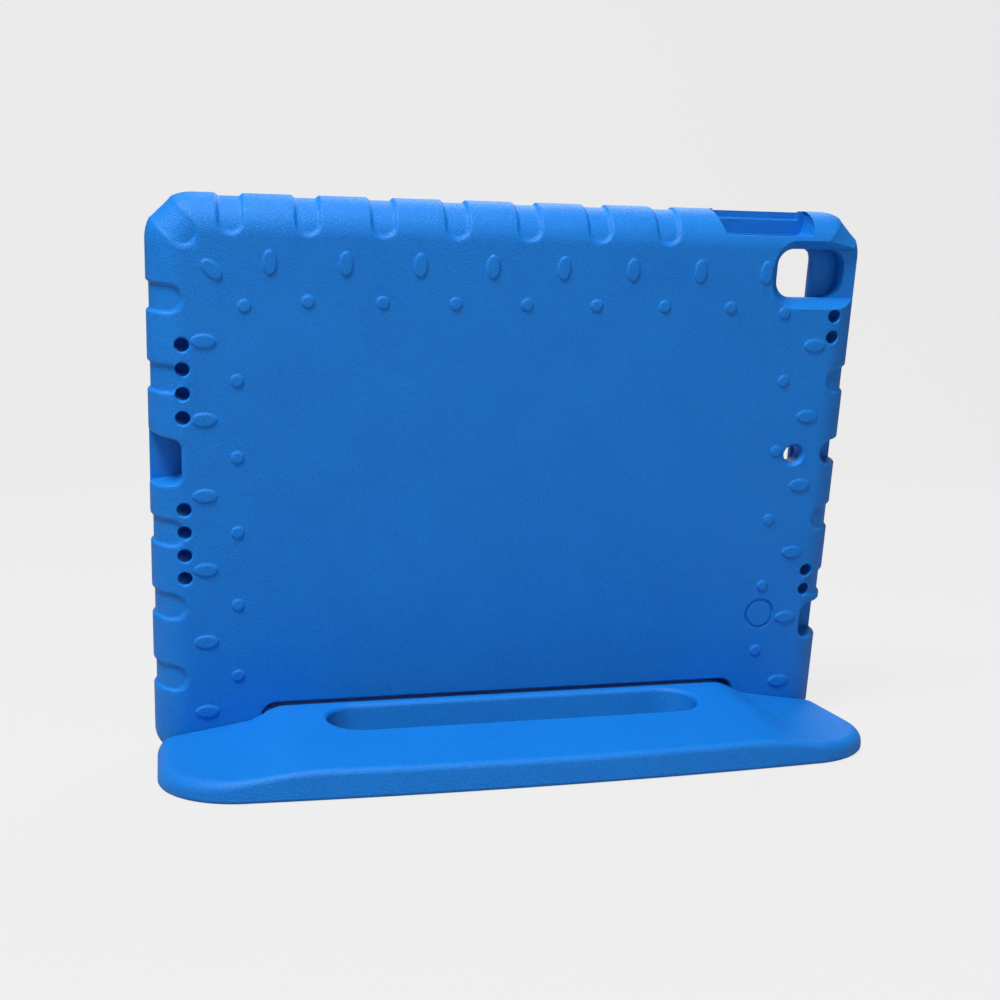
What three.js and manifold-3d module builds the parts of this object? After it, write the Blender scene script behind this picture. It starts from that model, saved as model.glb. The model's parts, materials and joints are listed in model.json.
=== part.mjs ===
// A child's foam bumper case for a flat tablet, standing on its own fold-out handle.
// Pieces: the moulded foam shell, the moulded foam handle that doubles as a stand, and two pivot pins.
// Millimetres, +Z up. The table is z = 0, the shell's back faces -Y and its open front faces +Y.
// The origin lies on the table, on the web of the handle between its rounded nose and its finger slot.

import * as THREE from 'three';
import { mergeVertices } from 'three/addons/utils/BufferGeometryUtils.js';
import Module from 'manifold-3d';

const wasm = await Module();
wasm.setup();

// The tablet that the pocket is made for, lying with its long side along X
const tabletWidth = 250.6;
const tabletHeight = 174.1;
const tabletThickness = 6.1;
const tabletCornerRadius = 10;
const tabletClearance = 0.4;

// The foam shell around it
const sideMargin = 13.6;
const topMargin = 9.9;
const bottomWall = 9.2;
const backWall = 7;
const pocketSlack = 0.8;
const lipDepth = 8.1;
const lipOverlap = 4.6;
const lipFlare = 2.6;
const lipLand = 0.5;
const backRounding = 14;
const frontRounding = 8;
const cornerRadius = 17;
const footCornerRadius = 9;
const smallestCorner = 2.5;
const footWidth = 40.8;

// Flutes pressed across the rim: how far each round tip reaches in from the shell's outside
const topFluteWidth = 9.8;
const sideFluteWidth = 10.8;
const fluteDepth = 1.1;
const topFlutePitch = 27.4;
const topFluteReach = 13;
const sideFlutePitch = 29.1;
const sideFluteReach = 12.3;
const sideRowShift = 2.4;
const cornerFluteReach = 16.4;
const topFlutePlaces = [-4, -3, -2, -1, 0, 1, 2];
const leftFlutePlaces = [-3, -2, -1, 1, 2];
const rightFlutePlaces = [-2, -1, 1];

// Raised dots and ovals on the back, placed in from the shell's outside
const dotHeight = 0.7;
const dotBevel = 0.45;
const dotRadius = 2.9;
const ovalHalfLength = 5.2;
const ovalHalfWidth = 3.2;
const topOvalInset = 23.1;
const topDotInset = 36.9;
const sideDotInset = 31.7;
const sideOvalInset = 19.9;
const sideDotPitch = 28.9;
const cornerOvalInset = [23, 26];
const cornerDotInset = [34.3, 38.8];
const topOvalPlaces = [-3.5, -2.5, -1.5, -0.5, 0.5, 1.5, 2.5, 3.5];
const topDotPlaces = [-3, -2, -1, 0, 1, 2, 3];
const sideDotPlaces = [-3, -2, -1, 0, 1];
const sideOvalPlaces = [-3.5, -2.5, -1.5, -0.5, 0.5, 1.5];

// Camera window, measured from the pocket's corner
const windowWidth = 29;
const windowHeight = 19;
const windowPastPocket = 6;
const windowBelowPocket = 4.2;
const windowRadius = 6.5;
const windowBevelRadius = 7.5;
const windowBevel = 4;
const windowBevelDepth = 6;

// Slot over the volume keys, measured from the pocket's corner
const keySlotInset = 11.2;
const keySlotLength = 35.5;
const keySlotFloor = 0.5;
const keySlotDepth = 15;
const keySlotLeftRun = 5.5;
const keySlotLeftCorner = [[-1.7, 1.6], [-0.4, 0]];
const keySlotRightRun = 1.6;
const keySlotRightCorner = [[-0.6, 0], [1.1, 1.5], [1.9, 5]];
const keySlotLedge = 6.1;
const keySlotLedgeDepth = 2.4;
const keySlotLedgeEnds = [2, 0.5];
const keySlotLedgeRadius = 0.5;
const keyGapWidth = 28;
const keyGapInset = 1.4;
const keyGapDepth = 4;

// Notches through the rim, as far as they stop short of the pocket
const edgeNotchDepth = 15.5;
const plugNotchWall = 1.9;
const plugNotchMiddle = 0.6;
const plugNotchHeight = 17.2;
const plugNotchRadius = 3.5;
const plugNotchFlare = 1.4;
const plugGapHeight = 14;
const plugGapInset = 0.3;
const soundNotchWall = 2;
const soundNotchMiddle = 1.4;
const soundGapHeight = 3;
const soundGapInset = 2;
const jackNotchWall = 0.9;
const jackNotchInset = 15.3;
const jackNotchHeight = 16;
const jackNotchRadius = 4.5;
const jackGapHeight = 8;
const jackGapInset = 0.6;
const gapCornerRadius = 0.3;

// Small round holes and the plain round badge
const speakerInset = 12.3;
const speakerRadius = 2.5;
const leftSpeakerStart = 17.4;
const leftSpeakerPitch = 8.95;
const leftSpeakerCount = 4;
const rightSpeakerStart = 49.2;
const rightSpeakerPitch = 8.4;
const rightSpeakerCount = 2;
const soundHoleInset = 23.8;
const soundHoleHeight = 0.8;
const soundHoleRadius = 3.4;
const soundHoleSink = 1;
const soundHoleSinkDepth = 2.5;
const badgeInset = 31.7;
const badgeAboveRecess = 29;
const badgeRadius = 6.4;
const badgeGrooveWidth = 0.9;
const badgeGrooveDepth = 0.8;
const soundHoleOvershoot = 0.5;

// The handle that folds back as a stand
const lean = THREE.MathUtils.degToRad(10);
const handleHalfThickness = 9.5;
const handleEndInset = 0.8;
const handleReach = 80.4;
const handleBow = 3.2;
const handleEdgeThickness = 10.6;
const handleEndThickness = 7.4;
const handleCornerRadius = 32;
const shoulderCornerRadius = 8;
const shoulderRun = 7.5;
const shoulderDrop = 5.8;
const shoulderEndDrop = 11.6;
const tongueTopInset = 8.5;
const edgeBlend = 18;
const handleTopRounding = 2.4;
const handleEndRounding = 4.8;
const handleBottomRounding = 1.6;
const fallPower = 1.5;
const recessGap = 1;
const recessCornerRadius = 5.5;
const seamGap = 0.4;
const foldGap = 0.7;
const footClearance = 0.3;
const slotEndInset = 22.5;
const slotWidth = 26.4;
const slotSetback = 17.4;
const slotTopFlare = 3;
const slotBottomFlare = 1.4;
const originSetback = 8;
const slotEndSlack = 0.05;

// The two pivot pins
const pinRadius = 3;
const pinInHandle = 22;
const pinInShell = 20;
const pinGap = 0.1;

// Sizes that follow from those above
const pocketHalfWidth = tabletWidth / 2 + tabletClearance;
const pocketHalfHeight = tabletHeight / 2 + tabletClearance;
const pocketFront = backWall + tabletThickness + pocketSlack;
const caseThickness = pocketFront + lipDepth;
const shellHalfWidth = pocketHalfWidth + sideMargin;
const shellTop = pocketHalfHeight + topMargin;
const recessTop = -(pocketHalfHeight + bottomWall);
const recessHalfWidth = shellHalfWidth - footWidth;
const tongueHalfWidth = recessHalfWidth - recessGap;
const handleHalfLength = shellHalfWidth - handleEndInset;
const slotHalfLength = tongueHalfWidth - slotEndInset;
// Flush fronts when the handle is swung out: the axis lies half the handle's thickness behind the front.
const hingeDepth = caseThickness - handleHalfThickness;
// The handle's top passes foldGap under the recess's edge while the shell leans back.
const hingeHeight = recessTop - foldGap
  - (hingeDepth * Math.sin(lean) + handleHalfThickness) / Math.cos(lean);
const footDrop = handleHalfThickness - footClearance;
const shellBottom = hingeHeight - footDrop;
// How far a cutter reaches past the outside, into a hollow beside it, and barely past a face
const cutMargin = 2;
const cutOverlap = 1;
const cutSliver = 0.1;

// Where a section of the handle has its points: shares of the top rounding in from the rim, shares of
// the way from the axis to the rim, and the width of the flat rim of the top and of the underside
const rimShares = [0, 0.125, 0.34375, 0.65625, 1];
const topShares = [0, 0.12, 0.25, 0.4, 0.55, 0.72, 0.86];
const topRimWidth = 8;
const underShares = [0, 0.25, 1];
const underRimWidth = 12;
const cornerDegrees = [0, 12, 24, 35, 46, 57, 68];
const closestStations = 0.3;

// Manifold solid of a closed three.js geometry
function solidOf(geometry) {
  const bare = geometry.clone();
  bare.deleteAttribute('normal');
  bare.deleteAttribute('uv');
  const merged = mergeVertices(bare, 1e-4);
  const vertProperties = new Float32Array(merged.attributes.position.array);
  const triVerts = new Uint32Array(merged.index.array);
  return new wasm.Manifold(new wasm.Mesh({ numProp: 3, vertProperties, triVerts }));
}

// Back from a solid to a geometry that a mesh can show
function geometryOf(solid) {
  const mesh = solid.getMesh();
  const geometry = new THREE.BufferGeometry();
  geometry.setAttribute('position', new THREE.BufferAttribute(mesh.vertProperties, 3));
  geometry.setIndex(new THREE.BufferAttribute(mesh.triVerts, 1));
  geometry.computeVertexNormals();
  return geometry;
}

// Closed body through rings of equal point count, with a flat cap on the first and the last ring.
// `flat` turns a ring point into the 2-D point in which the caps are triangulated.
function loft(rings, flat) {
  const count = rings[0].length;
  const positions = rings.flat().flatMap((point) => [point.x, point.y, point.z]);
  const faces = [];
  for (let level = 0; level + 1 < rings.length; level += 1) {
    for (let k = 0; k < count; k += 1) {
      const a = level * count + k;
      const b = level * count + (k + 1) % count;
      faces.push(a, b, b + count, a, b + count, a + count);
    }
  }
  const cap = (ring) => THREE.ShapeUtils.triangulateShape(ring.map(flat), []);
  const lastRing = (rings.length - 1) * count;
  const outline = rings[0].map(flat);
  const turn = THREE.ShapeUtils.isClockWise(outline) ? -1 : 1;
  const orient = (triangle) => {
    const [a, b, c] = triangle.map((k) => outline[k]);
    const area = (b.x - a.x) * (c.y - a.y) - (c.x - a.x) * (b.y - a.y);
    return area * turn < 0 ? [triangle[0], triangle[2], triangle[1]] : triangle;
  };
  for (const triangle of cap(rings[0])) {
    const [a, b, c] = orient(triangle);
    faces.push(a, c, b);
  }
  for (const triangle of cap(rings[rings.length - 1])) {
    const [a, b, c] = orient(triangle);
    faces.push(lastRing + a, lastRing + b, lastRing + c);
  }
  const at = (k) => new THREE.Vector3(positions[3 * k], positions[3 * k + 1], positions[3 * k + 2]);
  let volume = 0;
  for (let k = 0; k < faces.length; k += 3) {
    volume += at(faces[k]).dot(at(faces[k + 1]).cross(at(faces[k + 2])));
  }
  if (volume < 0) faces.reverse();
  const geometry = new THREE.BufferGeometry();
  geometry.setAttribute('position', new THREE.Float32BufferAttribute(positions, 3));
  geometry.setIndex(faces);
  return geometry;
}

// Rounded rectangle as [x, z] points, counter-clockwise from the lower right corner
function roundedRect(left, right, bottom, top, bottomRadius, topRadius, steps = 6) {
  const corners = [
    [right - bottomRadius, bottom + bottomRadius, bottomRadius, -Math.PI / 2],
    [right - topRadius, top - topRadius, topRadius, 0],
    [left + topRadius, top - topRadius, topRadius, Math.PI / 2],
    [left + bottomRadius, bottom + bottomRadius, bottomRadius, Math.PI],
  ];
  return corners.flatMap(([cx, cz, radius, start]) => Array.from({ length: steps + 1 }, (_, k) => {
    const angle = start + (k / steps) * (Math.PI / 2);
    return [cx + radius * Math.cos(angle), cz + radius * Math.sin(angle)];
  }));
}

// An [x, z] outline at depth y behind the shell's back
const ringAtDepth = (outline, y) => outline.map(([x, z]) => new THREE.Vector3(x, y, z));
const flatXZ = (point) => new THREE.Vector2(point.x, point.z);
const flatYZ = (point) => new THREE.Vector2(point.y, point.z);
const flatXY = (point) => new THREE.Vector2(point.x, point.y);

// Straight cutter through the shell's depth
function prism(outline, fromDepth, toDepth) {
  return solidOf(loft([ringAtDepth(outline, fromDepth), ringAtDepth(outline, toDepth)], flatXZ));
}

// Round cutter or stud through the shell's depth, wider or narrower at its front end
function stud(x, z, backRadius, frontRadius, fromDepth, toDepth, sides = 16) {
  const geometry = new THREE.CylinderGeometry(frontRadius, backRadius, toDepth - fromDepth, sides);
  geometry.translate(x, (fromDepth + toDepth) / 2, z);
  return solidOf(geometry);
}

// Body of the shell, moved inwards by `inset` all over. The back edge is a quarter circle, the front
// edge a smaller one, and the feet's lower back edge is a quarter ellipse about the hinge axis.
function shellBlock(inset) {
  const back = backRounding - inset;
  const front = frontRounding - inset;
  const steps = 6;
  const levels = [];
  for (let k = 0; k <= steps; k += 1) {
    const angle = (k / steps) * (Math.PI / 2);
    levels.push([inset + back * (1 - Math.cos(angle)), back * (1 - Math.sin(angle))]);
  }
  for (let k = 0; k <= steps / 2; k += 1) {
    const angle = (k / (steps / 2)) * (Math.PI / 2);
    levels.push([caseThickness - inset - front * (1 - Math.sin(angle)), front * (1 - Math.cos(angle))]);
  }
  const rings = levels.map(([depth, shrink]) => {
    const drawIn = inset + shrink;
    const toAxis = Math.max(0, hingeDepth - depth) / hingeDepth;
    const footLift = depth < hingeDepth ? footDrop * (1 - Math.sqrt(1 - toAxis * toAxis)) : 0;
    const lift = depth < hingeDepth ? footLift : shrink;
    return ringAtDepth(roundedRect(
      -shellHalfWidth + drawIn,
      shellHalfWidth - drawIn,
      shellBottom + inset + lift,
      shellTop - drawIn,
      Math.max(footCornerRadius - drawIn, smallestCorner),
      Math.max(cornerRadius - drawIn, smallestCorner),
    ), depth);
  });
  return solidOf(loft(rings, flatXZ));
}

// Long cutter with a round end, its tip at (x, z) and running outwards along `angle`
function flutePrism(x, z, angle, width, toDepth = caseThickness + cutMargin) {
  const radius = width / 2;
  const steps = 10;
  const outline = [];
  for (let k = 0; k <= steps; k += 1) {
    const turn = Math.PI / 2 + (k / steps) * Math.PI;
    outline.push([radius + radius * Math.cos(turn), radius * Math.sin(turn)]);
  }
  const far = 2 * backRounding + radius;
  outline.push([far, -radius], [far, radius]);
  const placed = outline.map(([along, across]) => [
    x + along * Math.cos(angle) - across * Math.sin(angle),
    z + along * Math.sin(angle) + across * Math.cos(angle),
  ]);
  return prism(placed, -cutMargin, toDepth);
}

// Flutes: shallow round-ended grooves over the rim, on the two sides, along the top and at the corners
function fluteCutters() {
  const topTip = shellTop - topFluteReach;
  const sideTip = shellHalfWidth - sideFluteReach;
  const cutters = [];
  for (const k of topFlutePlaces) {
    cutters.push(flutePrism(k * topFlutePitch, topTip, Math.PI / 2, topFluteWidth));
  }
  for (const k of leftFlutePlaces) {
    cutters.push(flutePrism(-sideTip, sideRowShift + k * sideFlutePitch, Math.PI, sideFluteWidth));
  }
  for (const k of rightFlutePlaces) {
    cutters.push(flutePrism(sideTip, sideRowShift + k * sideFlutePitch, 0, sideFluteWidth));
  }
  for (const side of [-1, 1]) {
    const angle = side > 0 ? Math.PI / 4 : (3 * Math.PI) / 4;
    cutters.push(flutePrism(side * (shellHalfWidth - cornerFluteReach), shellTop - cornerFluteReach,
      angle, sideFluteWidth));
  }
  return cutters;
}

// Raised flat-topped dot or oval on the back, with a small bevel, turned by `angle` in the XZ plane
function raisedDot(x, z, halfLength, halfWidth, angle = 0) {
  const steps = 14;
  const ring = (grow, depth) => Array.from({ length: steps }, (_, k) => {
    const turn = (k / steps) * 2 * Math.PI;
    const along = (halfLength + grow) * Math.cos(turn);
    const across = (halfWidth + grow) * Math.sin(turn);
    return new THREE.Vector3(
      x + along * Math.cos(angle) - across * Math.sin(angle),
      depth,
      z + along * Math.sin(angle) + across * Math.cos(angle),
    );
  });
  const rings = [ring(-dotBevel, -dotHeight), ring(0, dotBevel - dotHeight), ring(0, dotHeight)];
  return solidOf(loft(rings, flatXZ));
}

function raisedDots() {
  const dots = [];
  const ovalRow = shellTop - topOvalInset;
  const dotRow = shellTop - topDotInset;
  const dotColumn = shellHalfWidth - sideDotInset;
  const ovalColumn = shellHalfWidth - sideOvalInset;
  for (const k of topOvalPlaces) {
    dots.push(raisedDot(k * topFlutePitch, ovalRow, ovalHalfWidth, ovalHalfLength));
  }
  for (const k of topDotPlaces) {
    dots.push(raisedDot(k * topFlutePitch, dotRow, dotRadius, dotRadius));
  }
  for (const side of [-1, 1]) {
    for (const k of sideDotPlaces) {
      dots.push(raisedDot(side * dotColumn, sideRowShift + k * sideDotPitch, dotRadius, dotRadius));
    }
    for (const k of sideOvalPlaces) {
      const height = sideRowShift + k * sideDotPitch;
      dots.push(raisedDot(side * ovalColumn, height, ovalHalfLength, ovalHalfWidth));
    }
    const [across, down] = cornerDotInset;
    dots.push(raisedDot(side * (shellHalfWidth - across), shellTop - down, dotRadius, dotRadius));
  }
  const [across, down] = cornerOvalInset;
  dots.push(raisedDot(across - shellHalfWidth, shellTop - down, ovalHalfLength, ovalHalfWidth,
    -Math.PI / 4));
  return dots;
}

// The tablet's pocket, open at the front inside a bevelled lip that holds the tablet's edge
function pocketCutter() {
  const outline = (grow, radius) => roundedRect(
    -pocketHalfWidth - grow,
    pocketHalfWidth + grow,
    -pocketHalfHeight - grow,
    pocketHalfHeight + grow,
    radius,
    radius,
  );
  const mouth = tabletCornerRadius - lipOverlap;
  const pocket = prism(outline(0, tabletCornerRadius), backWall, pocketFront);
  const lip = solidOf(loft([
    ringAtDepth(outline(-lipOverlap, mouth), backWall + tabletThickness / 2),
    ringAtDepth(outline(-lipOverlap, mouth), pocketFront + lipLand),
    ringAtDepth(outline(lipFlare - lipOverlap, mouth + lipFlare), caseThickness),
    ringAtDepth(outline(lipFlare - lipOverlap, mouth + lipFlare), caseThickness + cutMargin),
  ], flatXZ));
  return pocket.add(lip);
}

// Camera window with bevels on three sides; on the fourth the bevel's floor runs out over the rim
function cameraCutter() {
  const past = shellHalfWidth + cutMargin;
  const right = pocketHalfWidth + windowPastPocket;
  const left = right - windowWidth;
  const top = pocketHalfHeight - windowBelowPocket;
  const bottom = top - windowHeight;
  const bevel = solidOf(loft([
    ringAtDepth(roundedRect(left - windowBevel, past, bottom - windowBevel,
      top + windowBevel, windowBevelRadius, windowBevelRadius), -cutSliver),
    ringAtDepth(roundedRect(left, past, bottom, top, windowRadius, windowRadius), windowBevelDepth),
  ], flatXZ));
  const window = prism(roundedRect(left, right, bottom, top, windowRadius, windowRadius),
    -cutMargin, pocketFront);
  return bevel.add(window);
}

// Slot on the top edge over the volume keys, with a ledge along its far wall and a gap to the pocket
function keySlotCutter() {
  const top = shellTop + cutMargin;
  const right = pocketHalfWidth - keySlotInset;
  const left = right - keySlotLength;
  const floor = pocketHalfHeight + keySlotFloor;
  const slot = prism([
    [left - keySlotLeftRun, top],
    ...keySlotLeftCorner.map(([across, up]) => [left + across, floor + up]),
    ...keySlotRightCorner.map(([across, up]) => [right + across, floor + up]),
    [right + keySlotRightRun, top],
  ], -cutMargin, keySlotDepth);
  const [ledgeLeft, ledgeRight] = keySlotLedgeEnds;
  const ledge = prism(
    roundedRect(left - ledgeLeft, right - ledgeRight, pocketHalfHeight + keySlotLedge, top,
      keySlotLedgeRadius, keySlotLedgeRadius, 1),
    keySlotDepth / 2,
    keySlotDepth + keySlotLedgeDepth,
  );
  const middle = (left + right) / 2;
  const gap = prism(
    roundedRect(middle - keyGapWidth / 2, middle + keyGapWidth / 2,
      pocketHalfHeight - cutOverlap, floor + cutOverlap, gapCornerRadius, gapCornerRadius, 1),
    backWall + keyGapInset,
    backWall + keyGapInset + keyGapDepth,
  );
  return slot.add(ledge).add(gap);
}

// Way from a rim notch into the pocket on one side, as high as `height` and inset from the pocket's depth
function rimGap(side, notchEnd, middle, height, inset) {
  const inner = side * (pocketHalfWidth - cutOverlap);
  const outer = side * (notchEnd + cutOverlap);
  return prism(roundedRect(Math.min(inner, outer), Math.max(inner, outer), middle - height / 2,
    middle + height / 2, gapCornerRadius, gapCornerRadius, 1), backWall + inset, pocketFront - inset);
}

// Notches through the rim for the plug, the microphone and the headphone jack
function rimNotchCutters() {
  const outside = shellHalfWidth + cutMargin;
  const plugEnd = pocketHalfWidth + plugNotchWall;
  const half = plugNotchHeight / 2;
  const corner = roundedRect(-outside - plugNotchRadius, -plugEnd, plugNotchMiddle - half,
    plugNotchMiddle + half, plugNotchRadius, plugNotchRadius, 4).filter(([x]) => x > -outside);
  const firstUpper = corner.findIndex(([, z]) => z > plugNotchMiddle);
  const plug = prism([
    ...corner.slice(firstUpper),
    [-outside, plugNotchMiddle + half + plugNotchFlare],
    [-outside, plugNotchMiddle - half - plugNotchFlare],
    ...corner.slice(0, firstUpper),
  ], -cutMargin, edgeNotchDepth);
  const plugGap = rimGap(-1, plugEnd, plugNotchMiddle, plugGapHeight, plugGapInset);
  const soundTip = pocketHalfWidth + soundNotchWall;
  const sound = flutePrism(soundTip, soundNotchMiddle, 0, sideFluteWidth, edgeNotchDepth);
  const soundGap = rimGap(1, soundTip + cutOverlap, soundNotchMiddle, soundGapHeight, soundGapInset);
  const jackEnd = pocketHalfWidth + jackNotchWall;
  const jackMiddle = jackNotchInset - pocketHalfHeight;
  const jack = prism(roundedRect(jackEnd, outside, jackMiddle - jackNotchHeight / 2,
    jackMiddle + jackNotchHeight / 2, jackNotchRadius, jackNotchRadius, 4), -cutMargin, edgeNotchDepth);
  const jackGap = rimGap(1, jackEnd, jackMiddle, jackGapHeight, jackGapInset);
  return [plug, plugGap, sound, soundGap, jack, jackGap];
}

// Small round holes: speakers along both short edges and the microphone hole with its countersink
function holeCutters() {
  const holes = [];
  const through = pocketFront - cutOverlap;
  const column = shellHalfWidth - speakerInset;
  const hole = (x, z) => stud(x, z, speakerRadius, speakerRadius, -cutMargin, through);
  for (const half of [-1, 1]) {
    for (let k = 0; k < leftSpeakerCount; k += 1) {
      holes.push(hole(-column, half * (leftSpeakerStart + k * leftSpeakerPitch)));
    }
    for (let k = 0; k < rightSpeakerCount; k += 1) {
      holes.push(hole(column, half * (rightSpeakerStart + k * rightSpeakerPitch)));
    }
  }
  const soundColumn = shellHalfWidth - soundHoleInset;
  const spread = (soundHoleSink / soundHoleSinkDepth) * (soundHoleSinkDepth + soundHoleOvershoot);
  holes.push(
    stud(soundColumn, soundHoleHeight, soundHoleRadius, soundHoleRadius, -cutMargin,
      backWall + cutOverlap),
    stud(soundColumn, soundHoleHeight, soundHoleRadius + spread, soundHoleRadius,
      -soundHoleOvershoot, soundHoleSinkDepth),
  );
  return holes;
}

// Ring groove around the plain round badge
function badgeCutter() {
  const sides = 28;
  const x = shellHalfWidth - badgeInset;
  const z = recessTop + badgeAboveRecess;
  const outer = stud(x, z, badgeRadius, badgeRadius, -cutMargin, badgeGrooveDepth, sides);
  const innerRadius = badgeRadius - badgeGrooveWidth;
  const inner = stud(x, z, innerRadius, innerRadius, -2 * cutMargin, 2 * cutMargin, sides);
  return outer.subtract(inner);
}

// Round hole or rod along X at (y, z)
function rodAlongX(radius, fromX, toX, y, z) {
  const geometry = new THREE.CylinderGeometry(radius, radius, toX - fromX, 20);
  geometry.rotateZ(Math.PI / 2);
  geometry.translate((fromX + toX) / 2, y, z);
  return geometry;
}

// The shell in its own upright frame: y = 0 is the back plane, z = 0 the tablet's middle
function makeShell() {
  const core = shellBlock(fluteDepth);
  let shell = shellBlock(0);
  for (const cutter of fluteCutters()) shell = shell.subtract(cutter.subtract(core));
  for (const dot of raisedDots()) shell = shell.add(dot);
  const recess = prism(roundedRect(-recessHalfWidth, recessHalfWidth, shellBottom - 3 * recessCornerRadius,
    recessTop, recessCornerRadius, recessCornerRadius), -cutMargin, caseThickness + cutMargin);
  const cutters = [pocketCutter(), cameraCutter(), keySlotCutter(), ...rimNotchCutters(),
    ...holeCutters(), badgeCutter(), recess];
  for (const side of [-1, 1]) {
    const inner = side * (recessHalfWidth - cutMargin);
    const outer = side * (recessHalfWidth + pinInShell + pinGap);
    cutters.push(solidOf(rodAlongX(pinRadius + pinGap, Math.min(inner, outer), Math.max(inner, outer),
      hingeDepth, hingeHeight)));
  }
  for (const cutter of cutters) shell = shell.subtract(cutter);
  return geometryOf(shell);
}

// Smooth step from 0 at `from` to 1 at `to`
function smooth(value, from, to) {
  const t = THREE.MathUtils.clamp((value - from) / (to - from), 0, 1);
  return t * t * (3 - 2 * t);
}

// Height of the handle's top over the hinge axis along the hinge: full over the tongue, then an S-curve
// down to the shoulders, which fall away to the ends
function hingeLineHeight(x) {
  const shoulderStart = tongueHalfWidth + shoulderRun;
  const outwards = (Math.abs(x) - shoulderStart) / (handleHalfLength - shoulderStart);
  const drop = THREE.MathUtils.lerp(shoulderDrop, shoulderEndDrop, outwards);
  const blend = smooth(Math.abs(x), tongueHalfWidth - tongueTopInset, shoulderStart);
  return handleHalfThickness - drop * blend;
}

// Height of the handle's top over the table, at distance s behind the axis
function handleTop(x, s) {
  const atHinge = handleHalfThickness + hingeLineHeight(x);
  const atEdge = THREE.MathUtils.lerp(handleEdgeThickness, handleEndThickness,
    smooth(Math.abs(x), tongueHalfWidth - edgeBlend, handleHalfLength - edgeBlend));
  const fall = Math.pow(Math.max(0, s) / handleReach, fallPower);
  return THREE.MathUtils.lerp(atHinge, atEdge, fall);
}

// Outer edge of the handle in plan: slightly bowed, with a quarter circle at each end
function handleEdge(x) {
  const bowed = (across) => handleReach - handleBow * (across / tongueHalfWidth) ** 2;
  const cornerStart = handleHalfLength - handleCornerRadius;
  const across = Math.abs(x);
  if (across <= cornerStart) return bowed(across);
  const over = Math.min(across - cornerStart, handleCornerRadius);
  return bowed(cornerStart) - handleCornerRadius + Math.sqrt(handleCornerRadius ** 2 - over ** 2);
}

// Distance in from the handle's outer edge or end, used to round its rim
function rimDistance(x, s) {
  const across = Math.abs(x);
  const cornerStart = handleHalfLength - handleCornerRadius;
  const cornerMiddle = handleEdge(cornerStart) - handleCornerRadius;
  if (across > cornerStart && s > cornerMiddle) {
    return handleCornerRadius - Math.hypot(across - cornerStart, s - cornerMiddle);
  }
  return Math.min(handleHalfLength - across, handleEdge(x) - s);
}

// How far a quarter-circle edge of `radius` falls at `distance` in from the rim
function edgeFall(distance, radius) {
  const t = THREE.MathUtils.clamp(1 - distance / radius, 0, 1);
  return radius * (1 - Math.sqrt(1 - t * t));
}

// Radius of the top's rounded rim: small along the near edge, larger at the thin ends
function rimRounding(x) {
  return THREE.MathUtils.lerp(handleTopRounding, handleEndRounding,
    smooth(Math.abs(x), tongueHalfWidth, handleHalfLength));
}

// A point of the handle, s behind the hinge axis and z over the table
const handlePoint = (x, s, z) => new THREE.Vector3(x, originSetback - s, z);

// Closed section of the handle at x: round nose about the axis, falling top, rounded rim, flat underside
function handleSection(x) {
  const edge = handleEdge(x);
  const rounding = rimRounding(x);
  const inner = edge - topRimWidth;
  const along = [
    ...topShares.map((share) => share * inner),
    inner,
    ...rimShares.map((share) => edge - share * rounding).reverse(),
  ];
  const points = along.map((s) => handlePoint(
    x,
    s,
    handleTop(x, s) - edgeFall(rimDistance(x, s), rounding),
  ));
  const under = [
    ...underShares.map((share) => edge - share * handleBottomRounding),
    edge - underRimWidth,
    0,
  ];
  for (const s of under) {
    points.push(handlePoint(x, s, edgeFall(rimDistance(x, s), handleBottomRounding)));
  }
  const noseSteps = 10;
  const nose = hingeLineHeight(x);
  for (let k = 1; k < noseSteps; k += 1) {
    const angle = -Math.PI / 2 + (k / noseSteps) * Math.PI;
    const reach = Math.sin(angle) > 0 ? Math.max(nose, 0) : handleHalfThickness;
    points.push(handlePoint(
      x,
      -handleHalfThickness * Math.cos(angle),
      handleHalfThickness + reach * Math.sin(angle),
    ));
  }
  return points;
}

// X stations of the sections, closer where the shape changes
function handleStations() {
  const half = [];
  const cornerStart = handleHalfLength - handleCornerRadius;
  for (let k = 0; k <= 5; k += 1) {
    half.push(tongueHalfWidth - tongueTopInset + (k / 5) * (tongueTopInset + shoulderRun));
  }
  for (const degrees of cornerDegrees) {
    half.push(cornerStart + handleCornerRadius * Math.sin(THREE.MathUtils.degToRad(degrees)));
  }
  for (const share of rimShares.slice(0, 4)) half.push(handleHalfLength - share * handleEndRounding);
  half.sort((a, b) => a - b);
  const outwards = half.filter((x, k) => k === 0 || x - half[k - 1] > closestStations);
  const inner = tongueHalfWidth - edgeBlend;
  return [...outwards.map((x) => -x).reverse(), -inner, -inner / 2, 0, inner / 2, inner, ...outwards];
}

// Distance behind the axis of the shoulders' end faces, which lie along the leaning shell's back
function shoulderSetback(z) {
  return (hingeDepth + (z - handleHalfThickness) * Math.sin(lean)) / Math.cos(lean) + seamGap;
}

// Cutter that takes the nose off beside the tongue, so that the shell's feet stand there
function shoulderCutter(side) {
  const ring = (z) => {
    const near = shoulderSetback(z);
    const outline = [[tongueHalfWidth, -2 * handleHalfThickness], [tongueHalfWidth, near]];
    const steps = 6;
    for (let k = 0; k <= steps; k += 1) {
      const angle = (k / steps) * (Math.PI / 2);
      outline.push([
        handleHalfLength - shoulderCornerRadius * (1 - Math.sin(angle)),
        near + shoulderCornerRadius * (1 - Math.cos(angle)),
      ]);
    }
    outline.push(
      [handleHalfLength + cutMargin, near + shoulderCornerRadius],
      [handleHalfLength + cutMargin, -2 * handleHalfThickness],
    );
    return outline.map(([x, s]) => handlePoint(side * x, s, z));
  };
  return solidOf(loft([ring(-cutMargin), ring(2 * handleHalfThickness + cutMargin)], flatXY));
}

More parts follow.
